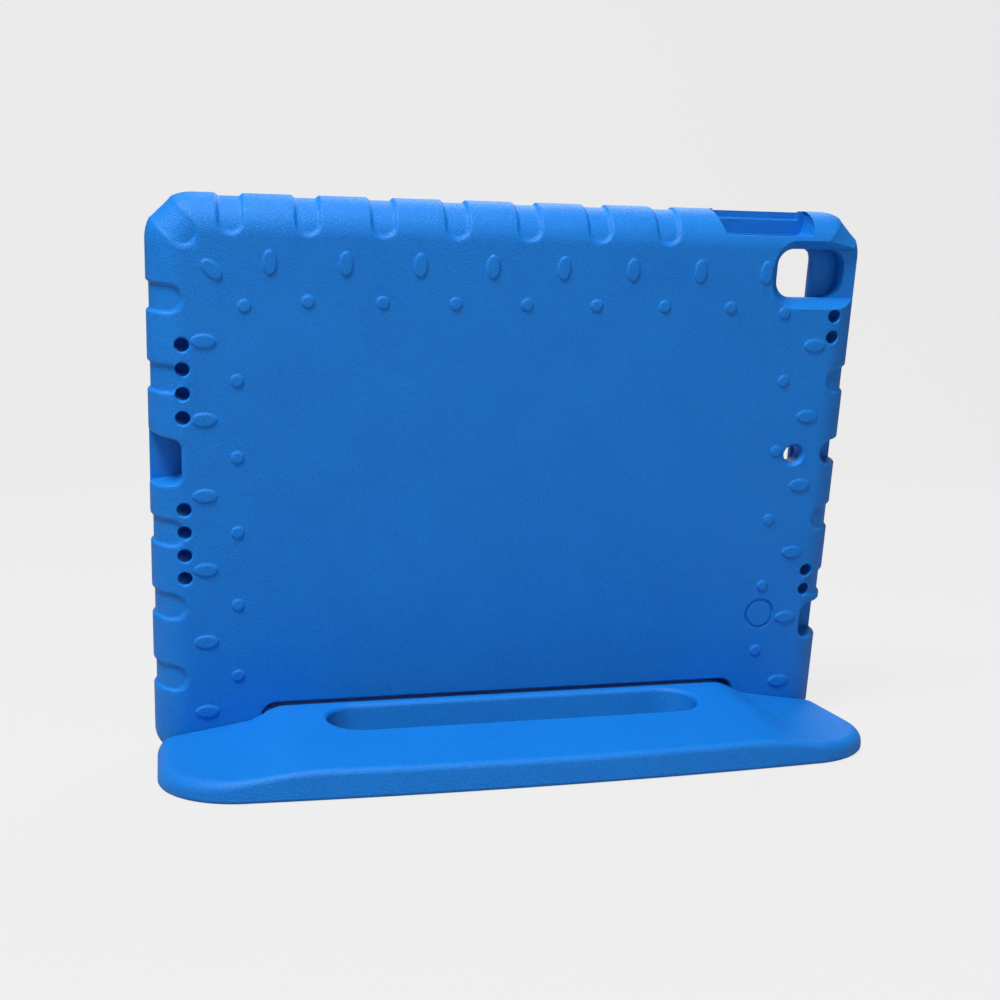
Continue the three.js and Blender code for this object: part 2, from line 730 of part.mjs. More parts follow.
// Finger slot with a rounded mouth that follows the sloping top
function slotCutter() {
  const radius = slotWidth / 2;
  const middle = slotSetback + radius;
  const ring = (grow, height) => {
    const outline = roundedRect(-slotHalfLength - grow, slotHalfLength + grow, middle - radius - grow,
      middle + radius + grow, radius + grow - slotEndSlack, radius + grow - slotEndSlack);
    return outline.map(([x, s]) => handlePoint(x, s, height(x, s)));
  };
  const mouth = (angle) => ring(slotTopFlare * (1 - Math.sin(angle)),
    (x, s) => handleTop(x, s) - slotTopFlare * (1 - Math.cos(angle)));
  const under = (angle) => ring(slotBottomFlare * (1 - Math.cos(angle)),
    () => slotBottomFlare * (1 - Math.sin(angle)));
  const rings = [
    ring(slotTopFlare, () => 2 * handleHalfThickness + cutMargin),
    ...[0, 1, 2, 3].map((k) => mouth((k / 3) * (Math.PI / 2))),
    ...[0, 1, 2].map((k) => under((k / 2) * (Math.PI / 2))),
    ring(slotBottomFlare, () => -cutMargin),
  ];
  return solidOf(loft(rings, flatXY));
}

function makeHandle() {
  let handle = solidOf(loft(handleStations().map(handleSection), flatYZ));
  const cutters = [shoulderCutter(-1), shoulderCutter(1), slotCutter()];
  for (const side of [-1, 1]) {
    const inner = side * (tongueHalfWidth - pinInHandle - pinGap);
    const outer = side * (tongueHalfWidth + cutMargin);
    cutters.push(solidOf(rodAlongX(pinRadius + pinGap, Math.min(inner, outer), Math.max(inner, outer),
      originSetback, handleHalfThickness)));
  }
  for (const cutter of cutters) handle = handle.subtract(cutter);
  return geometryOf(handle);
}

// A pivot pin, half in the handle's tongue and half in the shell's foot
function makePin(side) {
  const inner = side * (tongueHalfWidth - pinInHandle);
  const outer = side * (recessHalfWidth + pinInShell);
  return rodAlongX(pinRadius, Math.min(inner, outer), Math.max(inner, outer),
    originSetback, handleHalfThickness);
}

function foamMaterial() {
  return new THREE.MeshStandardMaterial({ color: '#1769cb', roughness: 0.72, metalness: 0 });
}

function pinMaterial() {
  return new THREE.MeshStandardMaterial({ color: '#2b2e33', roughness: 0.5, metalness: 0 });
}

function named(name, geometry, material) {
  const mesh = new THREE.Mesh(geometry, material);
  mesh.name = name;
  return mesh;
}

const part = new THREE.Group();
part.add(named('stand_handle', makeHandle(), foamMaterial()));
part.add(named('pivot_pin_left', makePin(-1), pinMaterial()));
part.add(named('pivot_pin_right', makePin(1), pinMaterial()));

// The shell leans back about the hinge axis
const leaning = new THREE.Group();
leaning.rotation.x = lean;
leaning.position.set(
  0,
  originSetback - hingeDepth * Math.cos(lean) + hingeHeight * Math.sin(lean),
  handleHalfThickness - hingeDepth * Math.sin(lean) - hingeHeight * Math.cos(lean),
);
leaning.add(named('bumper_shell', makeShell(), foamMaterial()));
part.add(leaning);

export default part;
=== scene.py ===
# %% [markdown]
# # A child's foam tablet case on its fold-out handle
# The real case is moulded from EVA foam: one soft blue shell that grips the tablet's edge, and one thick
# foam handle that turns on two pins between the shell's feet. Folded back it is a stand, as here.
# Both are smooth, swelling shapes with pressed-in flutes and raised dots, so each is worked out as a
# surface with numpy and then cut by shapes whose edges are already rounded.

# %% Load the frame
import json
import math

import bpy
import numpy as np
from mathutils import Matrix, Vector


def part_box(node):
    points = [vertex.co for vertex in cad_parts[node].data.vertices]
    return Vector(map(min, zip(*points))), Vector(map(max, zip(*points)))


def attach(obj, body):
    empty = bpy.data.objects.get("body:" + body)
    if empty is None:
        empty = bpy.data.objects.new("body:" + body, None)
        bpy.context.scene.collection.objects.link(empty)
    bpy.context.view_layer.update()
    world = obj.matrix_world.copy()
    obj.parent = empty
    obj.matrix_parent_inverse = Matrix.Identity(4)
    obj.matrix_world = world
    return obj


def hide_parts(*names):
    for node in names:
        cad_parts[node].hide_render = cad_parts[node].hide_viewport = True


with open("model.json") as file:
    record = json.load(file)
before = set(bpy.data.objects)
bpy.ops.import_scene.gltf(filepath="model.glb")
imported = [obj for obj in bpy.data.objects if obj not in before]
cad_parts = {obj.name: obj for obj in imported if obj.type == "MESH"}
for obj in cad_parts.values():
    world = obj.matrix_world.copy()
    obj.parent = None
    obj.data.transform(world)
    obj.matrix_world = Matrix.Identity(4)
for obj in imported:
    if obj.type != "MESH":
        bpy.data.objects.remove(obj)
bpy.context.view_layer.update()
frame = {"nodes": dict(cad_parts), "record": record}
MM = 0.001
shell_low, shell_high = (np.array(corner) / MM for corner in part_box("bumper_shell"))
handle_low, handle_high = (np.array(corner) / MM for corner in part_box("stand_handle"))
hinge = frame["record"]["behaviour"]["joints"][0]
HINGE_Y, HINGE_Z = hinge["pos_m"][1] / MM, hinge["pos_m"][2] / MM
print(f"shell {shell_high - shell_low} mm, handle {handle_high - handle_low} mm")
print(f"hinge axis at y {HINGE_Y} z {HINGE_Z}")

# %% [markdown]
# ## The camera comes first
# The photograph is taken from behind the case, a little to the left and a little above. A real lens is
# placed by where it stands, which way it looks and how long it is, and a 36 mm sensor gives its field.

# %% Camera
CAMERA_PLACE = (-0.13452, -0.54025, 0.15708)
CAMERA_FORWARD = (0.2371, 0.9656, -0.1072)
CAMERA_UP = (0.0196, 0.1055, 0.9942)
SENSOR_WIDTH = 36.0
FOCAL_PIXELS = 1380.0
PICTURE_WIDTH = 1000.0


def look(place, forward, up):
    """World matrix of a thing at place whose -Z looks along forward and whose +Y is close to up."""
    back = -Vector(forward).normalized()
    right = Vector(up).cross(back).normalized()
    above = back.cross(right)
    turned = Matrix((right, above, back)).transposed().to_4x4()
    return Matrix.Translation(Vector(place)) @ turned


camera = bpy.data.objects.new("camera", bpy.data.cameras.new("camera"))
bpy.context.collection.objects.link(camera)
camera.data.sensor_width = SENSOR_WIDTH
camera.data.lens = FOCAL_PIXELS / PICTURE_WIDTH * SENSOR_WIDTH
camera.data.clip_start = 0.01
camera.matrix_world = look(CAMERA_PLACE, CAMERA_FORWARD, CAMERA_UP)
bpy.context.scene.camera = camera
print(f"lens {camera.data.lens:.1f} mm")

# %% [markdown]
# ## Sizes
# These are the case's own sizes in millimetres. The shell is described upright in its own frame: x to the
# right, y from the back (0) to the open front, z up from the tablet's middle. It then leans back by ten
# degrees about the hinge, so one function carries every point from that frame to the table's.

# %% Sizes of the shell
LEAN = math.radians(10)
THICKNESS = 22.0
HALF_WIDTH = shell_high[0]
HINGE_DEPTH = THICKNESS - HINGE_Z
POCKET_HALF_WIDTH = HALF_WIDTH - 13.6
POCKET_HALF_HEIGHT = 87.45
SHELL_TOP = POCKET_HALF_HEIGHT + 9.9
RECESS_TOP = -(POCKET_HALF_HEIGHT + 9.2)
FOLD_GAP = 0.7
HINGE_HEIGHT = RECESS_TOP - FOLD_GAP - (HINGE_DEPTH * math.sin(LEAN) + HINGE_Z) / math.cos(LEAN)
FOOT_DROP = HINGE_Z - 0.3
SHELL_BOTTOM = HINGE_HEIGHT - FOOT_DROP
RECESS_HALF_WIDTH = HALF_WIDTH - 40.8
BACK_ROUNDING = 14.0
FRONT_ROUNDING = 8.0
CORNER_RADIUS = 17.0
FOOT_CORNER_RADIUS = 9.0
SMALLEST_CORNER = 2.5
FLAT_RING_STEP = 3.4
INNERMOST_RING = 33.0


def lean_back(points):
    """Shell frame to row frame: turn by the lean about X, and bring the hinge's place in the shell
    onto the hinge axis. Millimetres in, metres out."""
    x, y, z = np.asarray(points, float).T
    across = y - HINGE_DEPTH
    above = z - HINGE_HEIGHT
    row_y = HINGE_Y + across * math.cos(LEAN) - above * math.sin(LEAN)
    row_z = HINGE_Z + across * math.sin(LEAN) + above * math.cos(LEAN)
    return np.stack([x, row_y, row_z], 1) * MM


print(f"shell top {SHELL_TOP}, recess at {RECESS_TOP:.2f}, hinge {HINGE_HEIGHT:.2f} mm below the middle")

# %% [markdown]
# ## Helpers for surfaces
# A closed skin is a stack of rings with the same number of points. Neighbouring rings are joined by quads
# and the two end rings are closed by flat faces. The same helper makes the foam and the cutting shapes.
# The cutting is done by Blender's boolean, whose manifold solver is quick on dense closed meshes.

# %% Mesh helpers


def ring_faces(ring_count, point_count):
    """Quads between neighbouring closed rings, as index arrays, and the two end faces."""
    ring, point = np.meshgrid(np.arange(ring_count - 1), np.arange(point_count), indexing="ij")
    here = ring * point_count + point
    beside = ring * point_count + (point + 1) % point_count
    quads = np.stack([here, beside, beside + point_count, here + point_count], -1).reshape(-1, 4)
    first = np.arange(point_count)[::-1]
    last = np.arange(point_count) + (ring_count - 1) * point_count
    return quads, first, last


def closed_mesh(name, rings):
    """Object through rings, an array of shape (rings, points, 3) in metres, with its faces outwards.
    The sign of the enclosed volume, a sum of corner triple products, tells which way they point."""
    ring_count, point_count, _ = rings.shape
    quads, first, last = ring_faces(ring_count, point_count)
    points = rings.reshape(-1, 3)
    middle = points.mean(0)
    a, b, c, d = (points[quads[:, k]] - middle for k in range(4))
    volume = np.einsum("ij,ij->", a, np.cross(b, c)) + np.einsum("ij,ij->", a, np.cross(c, d))
    faces = [*quads.tolist(), first.tolist(), last.tolist()]
    if volume < 0:
        faces = [face[::-1] for face in faces]
    mesh = bpy.data.meshes.new(name)
    mesh.from_pydata(points.tolist(), [], faces)
    mesh.update()
    made = bpy.data.objects.new(name, mesh)
    bpy.context.collection.objects.link(made)
    return made


def apply_modifiers(piece):
    """Freezes the modifiers into the mesh and leaves the object plain."""
    depsgraph = bpy.context.evaluated_depsgraph_get()
    finished = bpy.data.meshes.new_from_object(piece.evaluated_get(depsgraph), depsgraph=depsgraph)
    piece.modifiers.clear()
    old = piece.data
    piece.data = finished
    bpy.data.meshes.remove(old)
    finished.name = piece.name


def combine(piece, others, operation):
    """Joins or cuts piece with all the others, which are used up."""
    for other in others:
        step = piece.modifiers.new(other.name, "BOOLEAN")
        step.operation = operation
        step.solver = "MANIFOLD"
        step.object = other
    apply_modifiers(piece)
    for other in others:
        spent = other.data
        bpy.data.objects.remove(other)
        bpy.data.meshes.remove(spent)


def surface_fault(piece):
    """The most by which one face's drawn triangles differ from its own area, in square millimetres. A
    wide face that surrounds others can be cut into triangles wrongly, and the hole or fold shows here."""
    mesh = piece.data
    mesh.calc_loop_triangles()
    owner = np.empty(len(mesh.loop_triangles), np.int32)
    drawn = np.empty(len(mesh.loop_triangles), np.float32)
    own = np.empty(len(mesh.polygons), np.float32)
    mesh.loop_triangles.foreach_get("polygon_index", owner)
    mesh.loop_triangles.foreach_get("area", drawn)
    mesh.polygons.foreach_get("area", own)
    return float(np.abs(np.bincount(owner, drawn, len(own)) - own).max() / MM ** 2)


def finish_shading(piece, crease_degrees=38):
    """Smooth shading with creases only at real edges. Weighted normals keep the flat faces flat."""
    piece.data.shade_smooth()
    piece.data.set_sharp_from_angle(angle=math.radians(crease_degrees))
    weighted = piece.modifiers.new("weighted_normals", "WEIGHTED_NORMAL")
    weighted.keep_sharp = True
    weighted.weight = 50


# %% [markdown]
# ## The shell's skin
# The rim is a quarter circle of 14 mm at the back and one of 8 mm at the front. In plan the outline is a
# rounded rectangle. Flutes are grooves with a round tip: each is a distance field in plan, and the skin
# sinks along its normal by the flute's depth where that distance is negative, with a soft wall between.

# %% Flutes as a distance field
TOP_FLUTE_HALF_WIDTH = 4.4
SIDE_FLUTE_HALF_WIDTH = 5.1
FLUTE_DEPTH = 1.05
FLUTE_WALL = 1.35
CORNER_FLUTE_DEPTH = 1.1
TOP_FLUTE_PITCH = 27.4
SIDE_FLUTE_PITCH = 29.1
ROW_SHIFT = 2.4
TOP_FLUTE_REACH = 13.0
SIDE_FLUTE_REACH = 12.3
CORNER_FLUTE_REACH = CORNER_RADIUS - 0.6

top_flutes = [
    (k * TOP_FLUTE_PITCH, SHELL_TOP - TOP_FLUTE_REACH, math.pi / 2, TOP_FLUTE_HALF_WIDTH)
    for k in range(-4, 3)
]
left_flutes = [
    (SIDE_FLUTE_REACH - HALF_WIDTH, ROW_SHIFT + k * SIDE_FLUTE_PITCH, math.pi, SIDE_FLUTE_HALF_WIDTH)
    for k in (-3, -2, -1, 1, 2)
]
right_flutes = [
    (HALF_WIDTH - SIDE_FLUTE_REACH, ROW_SHIFT + k * SIDE_FLUTE_PITCH, 0.0, SIDE_FLUTE_HALF_WIDTH)
    for k in (-2, -1, 1)
]
corner_flutes = [
    (side * (HALF_WIDTH - CORNER_FLUTE_REACH), SHELL_TOP - CORNER_FLUTE_REACH, angle,
     SIDE_FLUTE_HALF_WIDTH)
    for side, angle in ((-1, 0.75 * math.pi), (1, 0.25 * math.pi))
]
flutes = top_flutes + left_flutes + right_flutes + corner_flutes


def soft_step(value):
    """0 below 0, 1 above 1, and 3 t^2 - 2 t^3 between."""
    t = np.clip(value, 0, 1)
    return t * t * (3 - 2 * t)


def flute_depth_at(x, z):
    """Depth of the flutes at plan points: for each flute the distance to its middle line, which starts
    at the centre of its round tip and runs outwards, less half its width, through a soft step. The two
    corner flutes have a flat floor, so the corner's arc, r - sqrt(r^2 - across^2), comes off theirs."""
    deepest = np.zeros_like(x)
    for flute in flutes:
        tip_x, tip_z, angle, half_width = flute
        out_x, out_z = math.cos(angle), math.sin(angle)
        along = (x - tip_x) * out_x + (z - tip_z) * out_z - half_width
        across = -(x - tip_x) * out_z + (z - tip_z) * out_x
        distance = np.hypot(np.minimum(along, 0), across) - half_width
        floor = np.full_like(x, FLUTE_DEPTH)
        if flute in corner_flutes:
            reach = np.minimum(np.abs(across), CORNER_RADIUS)
            floor = CORNER_FLUTE_DEPTH - CORNER_RADIUS + np.sqrt(CORNER_RADIUS ** 2 - reach ** 2)
        sunk = np.clip(floor, 0, None) * soft_step(0.5 - distance / FLUTE_WALL)
        deepest = np.maximum(deepest, sunk)
    return deepest


print(f"{len(flutes)} flutes")

# %% Stations along an edge, close together only where a flute wall is


def stations(low, high, centres, half_width, coarse=4.0, fine=0.4, spread=1.3):
    """Places from low to high. Their spacing is coarse on plain rim, smaller over a flute and near the
    ends, and fine at the flutes' walls: the density is integrated and cut into equal shares."""
    sample = np.linspace(low, high, 6000)
    density = np.full_like(sample, 1 / coarse)
    near_end = np.minimum(sample - low, high - sample) < CORNER_RADIUS - SMALLEST_CORNER
    density[near_end] = 1 / (2 * fine)
    for centre in centres:
        to_wall = np.abs(np.abs(sample - centre) - half_width)
        density[np.abs(sample - centre) < half_width] = 1 / (2 * fine)
        density = np.maximum(density, np.exp(-((to_wall / spread) ** 2)) / fine)
    total = np.concatenate([[0], np.cumsum((density[1:] + density[:-1]) / 2 * np.diff(sample))])
    count = int(math.ceil(total[-1]))
    return np.interp(np.linspace(0, total[-1], count + 1), total, sample)


def refit(places, start, end, low, high):
    """The stations of one side with its ends moved to start and end. Where the side has become
    shorter than the stations' own stretch from low to high, they are drawn in evenly."""
    inner_low, inner_high = max(low, start), min(high, end)
    drawn = inner_low + (places - low) * (inner_high - inner_low) / (high - low)
    return np.concatenate([[start], drawn[1:-1], [end]])


def rim_outline(draw_in, lift, corner_steps=34):
    """Plan outline with its unit normals, counter-clockwise from the lower right: straight sides at the
    stations, quarter circles between. draw_in moves the sides and the top in, lift moves the bottom up."""
    radius = max(CORNER_RADIUS - draw_in, SMALLEST_CORNER)
    foot_radius = max(FOOT_CORNER_RADIUS - draw_in, SMALLEST_CORNER)
    right, top = HALF_WIDTH - draw_in, SHELL_TOP - draw_in
    bottom = SHELL_BOTTOM + lift
    turn = np.linspace(0, math.pi / 2, corner_steps)[1:-1]
    side_low = SHELL_BOTTOM + FOOT_DROP + FOOT_CORNER_RADIUS
    side_high = SHELL_TOP - CORNER_RADIUS
    top_half = HALF_WIDTH - CORNER_RADIUS
    right_z = stations(side_low, side_high, [flute[1] for flute in right_flutes], SIDE_FLUTE_HALF_WIDTH)
    left_z = stations(side_low, side_high, [flute[1] for flute in left_flutes], SIDE_FLUTE_HALF_WIDTH)
    top_x = stations(-top_half, top_half, [flute[0] for flute in top_flutes], TOP_FLUTE_HALF_WIDTH)
    bottom_x = np.linspace(-1, 1, 41)
    right_z, left_z = (
        refit(side, bottom + foot_radius, top - radius, side_low, side_high) for side in (right_z, left_z)
    )
    top_x = refit(top_x, radius - right, right - radius, -top_half, top_half)
    bottom_x = bottom_x * (right - foot_radius)

    def straight(x, z, out_x, out_z):
        return np.stack(np.broadcast_arrays(x, z, float(out_x), float(out_z)))

    def corner(x, z, r, start):
        cos, sin = np.cos(start + turn), np.sin(start + turn)
        return np.stack([x + r * cos, z + r * sin, cos, sin])

    return np.concatenate([
        straight(right, right_z, 1, 0),
        corner(right - radius, top - radius, radius, 0),
        straight(top_x[::-1], top, 0, 1),
        corner(radius - right, top - radius, radius, math.pi / 2),
        straight(-right, left_z[::-1], -1, 0),
        corner(foot_radius - right, bottom + foot_radius, foot_radius, math.pi),
        straight(bottom_x, bottom, 0, -1),
        corner(right - foot_radius, bottom + foot_radius, foot_radius, 1.5 * math.pi),
    ], axis=1)


# %% The skin as rings from the back face to the front face


def shell_rings(back_steps=30, front_steps=12):
    """Rings of the shell. Some lie on the flat back, inwards past all dots and holes, and some on the
    flat front, inwards past the pocket's mouth. Between them, at angle a, the back edge lies at depth
    R (1 - cos a) and is drawn in by R (1 - sin a), and the front edge the other way round. The feet's
    lower back edge is a quarter ellipse about the hinge. Each point sinks along its normal by the
    flutes' depth."""
    past_dots = np.arange(INNERMOST_RING, 9.0, -FLAT_RING_STEP)
    on_back = BACK_ROUNDING + np.concatenate([past_dots, [9.0, 6.5, 4.5, 2.6, 1.7, 1.1, 0.7, 0.35]])
    on_front = FRONT_ROUNDING + np.array([1.5, 3.0, 5.0, 7.5, 10.0, 13.0])
    back_turn = np.linspace(0, math.pi / 2, back_steps + 1)
    front_turn = np.linspace(0, math.pi / 2, front_steps + 1)[1:]
    depth = np.concatenate([
        np.zeros_like(on_back),
        BACK_ROUNDING * (1 - np.cos(back_turn)),
        THICKNESS - FRONT_ROUNDING * (1 - np.sin(front_turn)),
        np.full_like(on_front, THICKNESS),
    ])
    draw_in = np.concatenate([
        on_back,
        BACK_ROUNDING * (1 - np.sin(back_turn)),
        FRONT_ROUNDING * (1 - np.cos(front_turn)),
        on_front,
    ])
    flat, level = np.zeros_like(on_back), np.zeros_like(on_front)
    normal_out = np.concatenate([flat, np.sin(back_turn), np.cos(front_turn), level])
    normal_back = np.concatenate([flat - 1, -np.cos(back_turn), np.sin(front_turn), level + 1])
    to_axis = np.clip(HINGE_DEPTH - depth, 0, None) / HINGE_DEPTH
    lift = np.where(depth < HINGE_DEPTH, FOOT_DROP * (1 - np.sqrt(1 - to_axis ** 2)), draw_in)
    lift[:len(on_back)] += on_back - BACK_ROUNDING
    rings = []
    for k in range(len(depth)):
        x, z, out_x, out_z = rim_outline(draw_in[k], lift[k])
        sunk = flute_depth_at(x, z)
        rings.append(np.stack([
            x - sunk * normal_out[k] * out_x,
            depth[k] - sunk * normal_back[k],
            z - sunk * normal_out[k] * out_z,
        ], 1))
    return np.stack(rings)


skin = shell_rings()
shell = closed_mesh("foam_shell", lean_back(skin.reshape(-1, 3)).reshape(skin.shape))
print(f"shell skin of {skin.shape[0]} rings by {skin.shape[1]} points")

# %% [markdown]
# ## Raised dots
# Dots and ovals stand a little proud of the back. Real ones have a soft foot, so the profile is a flat top,
# a rounded shoulder and a hollow foot that runs out almost level with the back.

# %% Dots
DOT_HEIGHT = 0.55
DOT_FOOT = 1.2
DOT_RADIUS = 2.3
OVAL = (4.4, 2.5)
TOP_OVAL_ROW = SHELL_TOP - 23.1
TOP_DOT_ROW = SHELL_TOP - 36.9
DOT_COLUMN = HALF_WIDTH - 31.7
OVAL_COLUMN = HALF_WIDTH - 19.9
SIDE_DOT_PITCH = 28.9
CORNER_DOT_INSET = (34.3, 38.8)
CORNER_OVAL_INSET = (23.0, 26.0)


def raised_dot(name, x, z, half_long, half_short, turn=0.0, sides=32, steps=8):
    """A dome over an ellipse: with t from the foot to the top, the height is DOT_HEIGHT times a soft
    step of t and the outline shrinks evenly by DOT_FOOT. Below the back it goes straight down."""
    t = np.linspace(0, 1, steps)
    height = np.concatenate([[-DOT_HEIGHT, -0.05], DOT_HEIGHT * soft_step(t)])
    grow = np.concatenate([[DOT_FOOT / 2, DOT_FOOT / 2], DOT_FOOT * (0.5 - t)])
    top_share = np.array([0.82, 0.5, 0.2])
    around = np.linspace(0, 2 * math.pi, sides, endpoint=False)
    along = (half_long + grow[:, None]) * np.cos(around)
    across = (half_short + grow[:, None]) * np.sin(around)
    along = np.concatenate([along, along[-1:] * top_share[:, None]])
    across = np.concatenate([across, across[-1:] * top_share[:, None]])
    crown = DOT_HEIGHT * np.array([1.03, 1.07, 1.09])
    height = np.concatenate([height, crown])
    rings = np.stack([
        x + along * math.cos(turn) - across * math.sin(turn),
        np.broadcast_to(-height[:, None], along.shape),
        z + along * math.sin(turn) + across * math.cos(turn),
    ], -1)
    return closed_mesh(name, lean_back(rings.reshape(-1, 3)).reshape(rings.shape))


dots = []
for k in range(-4, 4):
    dots.append(raised_dot(f"top_oval_{k}", (k + 0.5) * TOP_FLUTE_PITCH, TOP_OVAL_ROW, *OVAL[::-1]))
for k in range(-3, 4):
    dots.append(raised_dot(f"top_dot_{k}", k * TOP_FLUTE_PITCH, TOP_DOT_ROW, DOT_RADIUS, DOT_RADIUS))
for side in (-1, 1):
    for k in range(-3, 2):
        row = ROW_SHIFT + k * SIDE_DOT_PITCH
        dots.append(raised_dot(f"side_dot_{side}_{k}", side * DOT_COLUMN, row, DOT_RADIUS, DOT_RADIUS))
    for k in range(-3, 3):
        row = ROW_SHIFT + (k - 0.5) * SIDE_DOT_PITCH
        dots.append(raised_dot(f"side_oval_{side}_{k}", side * OVAL_COLUMN, row, *OVAL))
    corner_x, corner_z = side * (HALF_WIDTH - CORNER_DOT_INSET[0]), SHELL_TOP - CORNER_DOT_INSET[1]
    dots.append(raised_dot(f"corner_dot_{side}", corner_x, corner_z, DOT_RADIUS, DOT_RADIUS))
corner_x, corner_z = CORNER_OVAL_INSET[0] - HALF_WIDTH, SHELL_TOP - CORNER_OVAL_INSET[1]
dots.append(raised_dot("corner_oval", corner_x, corner_z, *OVAL, -math.pi / 4))
print(f"{len(dots)} dots")
combine(shell, dots, "UNION")

# %% [markdown]
# ## Openings with rounded edges
# Foam can't hold a sharp edge, so every opening turns into the skin round a small radius. Each cutter is an
# outline in plan carried through the depth. Close under the skin it swells by a quarter ellipse, so the cut
# runs out almost along the skin. How deep a point lies under the skin is worked out from the rim's profile.

# %% Cutters that follow the skin


def under_skin(x, y, z):
    """Depth of points under the shell's outside: the distance to the two quarter circles of the rim
    where a point lies in them, or to the nearest flat face elsewhere. Negative outside."""
    from_side = np.minimum(HALF_WIDTH - np.abs(x), SHELL_TOP - z)
    back_gap = np.hypot(np.clip(BACK_ROUNDING - from_side, 0, None), np.clip(BACK_ROUNDING - y, 0, None))
    to_back = BACK_ROUNDING - back_gap
    front = THICKNESS - y
    front_gap = np.hypot(
        np.clip(FRONT_ROUNDING - from_side, 0, None), np.clip(FRONT_ROUNDING - front, 0, None)
    )
    to_front = FRONT_ROUNDING - front_gap
    return np.minimum(np.minimum(to_back, to_front), np.minimum(y, front))


def swell(depth, radius):
    """How far a rounded edge of that radius widens a cut at a depth under the skin: a quarter ellipse
    that stops a little short of level, then an even flare outside."""
    t = np.clip(depth / radius, 0, 1)
    edge = radius * (1 - np.sqrt(1 - 0.97 * (1 - t) ** 2))
    return edge + 1.5 * np.clip(-depth, 0, 1.5)


def resample(corners, spacing=0.5):
    """Evenly spaced points round a closed outline given by its corner points."""
    closed = np.vstack([corners, corners[:1]])
    length = np.concatenate([[0], np.cumsum(np.hypot(*np.diff(closed, axis=0).T))])
    count = max(16, int(length[-1] / spacing))
    at = np.linspace(0, length[-1], count, endpoint=False)
    return np.stack([np.interp(at, length, closed[:, 0]), np.interp(at, length, closed[:, 1])], 1)


def rounded_rectangle(left, right, bottom, top, radius, steps=12):
    """Corner points of a rounded rectangle, counter-clockwise from the lower right."""
    turn = np.linspace(0, math.pi / 2, steps)
    centres = [
        (right - radius, bottom + radius, -math.pi / 2), (right - radius, top - radius, 0.0),
        (left + radius, top - radius, math.pi / 2), (left + radius, bottom + radius, math.pi),
    ]
    return np.concatenate([
        np.stack([cx + radius * np.cos(start + turn), cz + radius * np.sin(start + turn)], 1)
        for cx, cz, start in centres
    ])


def outward_normals(outline):
    """Unit normals of a counter-clockwise outline, from its neighbouring points."""
    tangent = np.roll(outline, -1, 0) - np.roll(outline, 1, 0)
    tangent /= np.maximum(np.hypot(*tangent.T)[:, None], 1e-9)
    return np.stack([tangent[:, 1], -tangent[:, 0]], 1)


def depth_stations(start, end, radius, far=False):
    """Depths from start to end, close together near the back skin and, with far, near the front one."""
    steps = [np.linspace(start, min(radius * 1.2, end), 14), np.linspace(start, end, 26)]
    if far:
        steps.append(np.linspace(end - 2 * radius - 1, end, 14))
    return np.unique(np.round(np.concatenate(steps), 3))


def skin_cutter(name, corners, start, end, radius, spacing=0.5, far=False):
    """Cutter of an outline from depth start to depth end with its mouth rounded to radius."""
    outline = resample(np.asarray(corners, float), spacing)
    normals = outward_normals(outline)
    depths = depth_stations(start, end, radius, far)
    x, y = np.meshgrid(outline[:, 0], depths)
    z = np.broadcast_to(outline[:, 1], x.shape)
    grow = swell(under_skin(x, y, z), radius)
    rings = np.stack([x + grow * normals[:, 0], y, z + grow * normals[:, 1]], -1)
    return closed_mesh(name, lean_back(rings.reshape(-1, 3)).reshape(rings.shape))


def plain_cutter(name, corners, depths, grow=None, spacing=0.7, inner=()):
    """Cutter of an outline through given depths, widened at each depth by grow. Rings shrunk towards
    the middle by the shares in inner, smallest first, divide its first end into small faces."""
    outline = resample(np.asarray(corners, float), spacing)
    normals = outward_normals(outline)
    widen = np.zeros(len(depths)) if grow is None else np.asarray(grow, float)
    rings = np.stack([
        outline[:, 0] + widen[:, None] * normals[:, 0],
        np.broadcast_to(np.asarray(depths, float)[:, None], (len(depths), len(outline))),
        outline[:, 1] + widen[:, None] * normals[:, 1],
    ], -1)
    middle = rings[0].mean(0)
    shrunk = [middle + (rings[0] - middle) * share for share in inner]
    rings = np.stack([*shrunk, *rings])
    return closed_mesh(name, lean_back(rings.reshape(-1, 3)).reshape(rings.shape))


# %% [markdown]
# ## The pocket and its lip
# From the front the tablet's edge is held by a lip that overlaps it. The pocket behind is cut straight, and
# the mouth in front of it opens outwards with a rounded inner edge.

# %% Pocket
PAST = 2.0
BACK_WALL = 7.0
POCKET_FRONT = 13.9
LIP_OVERLAP = 4.6
LIP_FLARE = 2.6
TABLET_CORNER = 10.0
lip_half_width = POCKET_HALF_WIDTH - LIP_OVERLAP
lip_half_height = POCKET_HALF_HEIGHT - LIP_OVERLAP
pocket = plain_cutter("pocket", rounded_rectangle(
    -POCKET_HALF_WIDTH, POCKET_HALF_WIDTH, -POCKET_HALF_HEIGHT, POCKET_HALF_HEIGHT, TABLET_CORNER,
), [BACK_WALL, POCKET_FRONT], spacing=1.5, inner=np.linspace(0.76, 0.97, 8))
lip_edge = 1.2
lip_turn = np.linspace(0, math.pi / 2, 7)
mouth_turn = np.linspace(0, 1.35, 9)
mouth_edge = 2.2
slope_top = THICKNESS - mouth_edge
lip_depths = np.concatenate([
    [BACK_WALL + 3], POCKET_FRONT - 0.01 + lip_edge * (1 - np.cos(lip_turn)),
    slope_top + mouth_edge * np.sin(mouth_turn), [THICKNESS + PAST],
])
lip_grow = np.concatenate([
    [lip_edge], lip_edge * (1 - np.sin(lip_turn)),
    LIP_FLARE - 0.9 + mouth_edge * (1 - np.cos(mouth_turn)) * 0.9, [LIP_FLARE + 3.0],
])
mouth = plain_cutter("mouth", rounded_rectangle(
    -lip_half_width, lip_half_width, -lip_half_height, lip_half_height, TABLET_CORNER - LIP_OVERLAP,
), lip_depths, lip_grow, spacing=1.2)
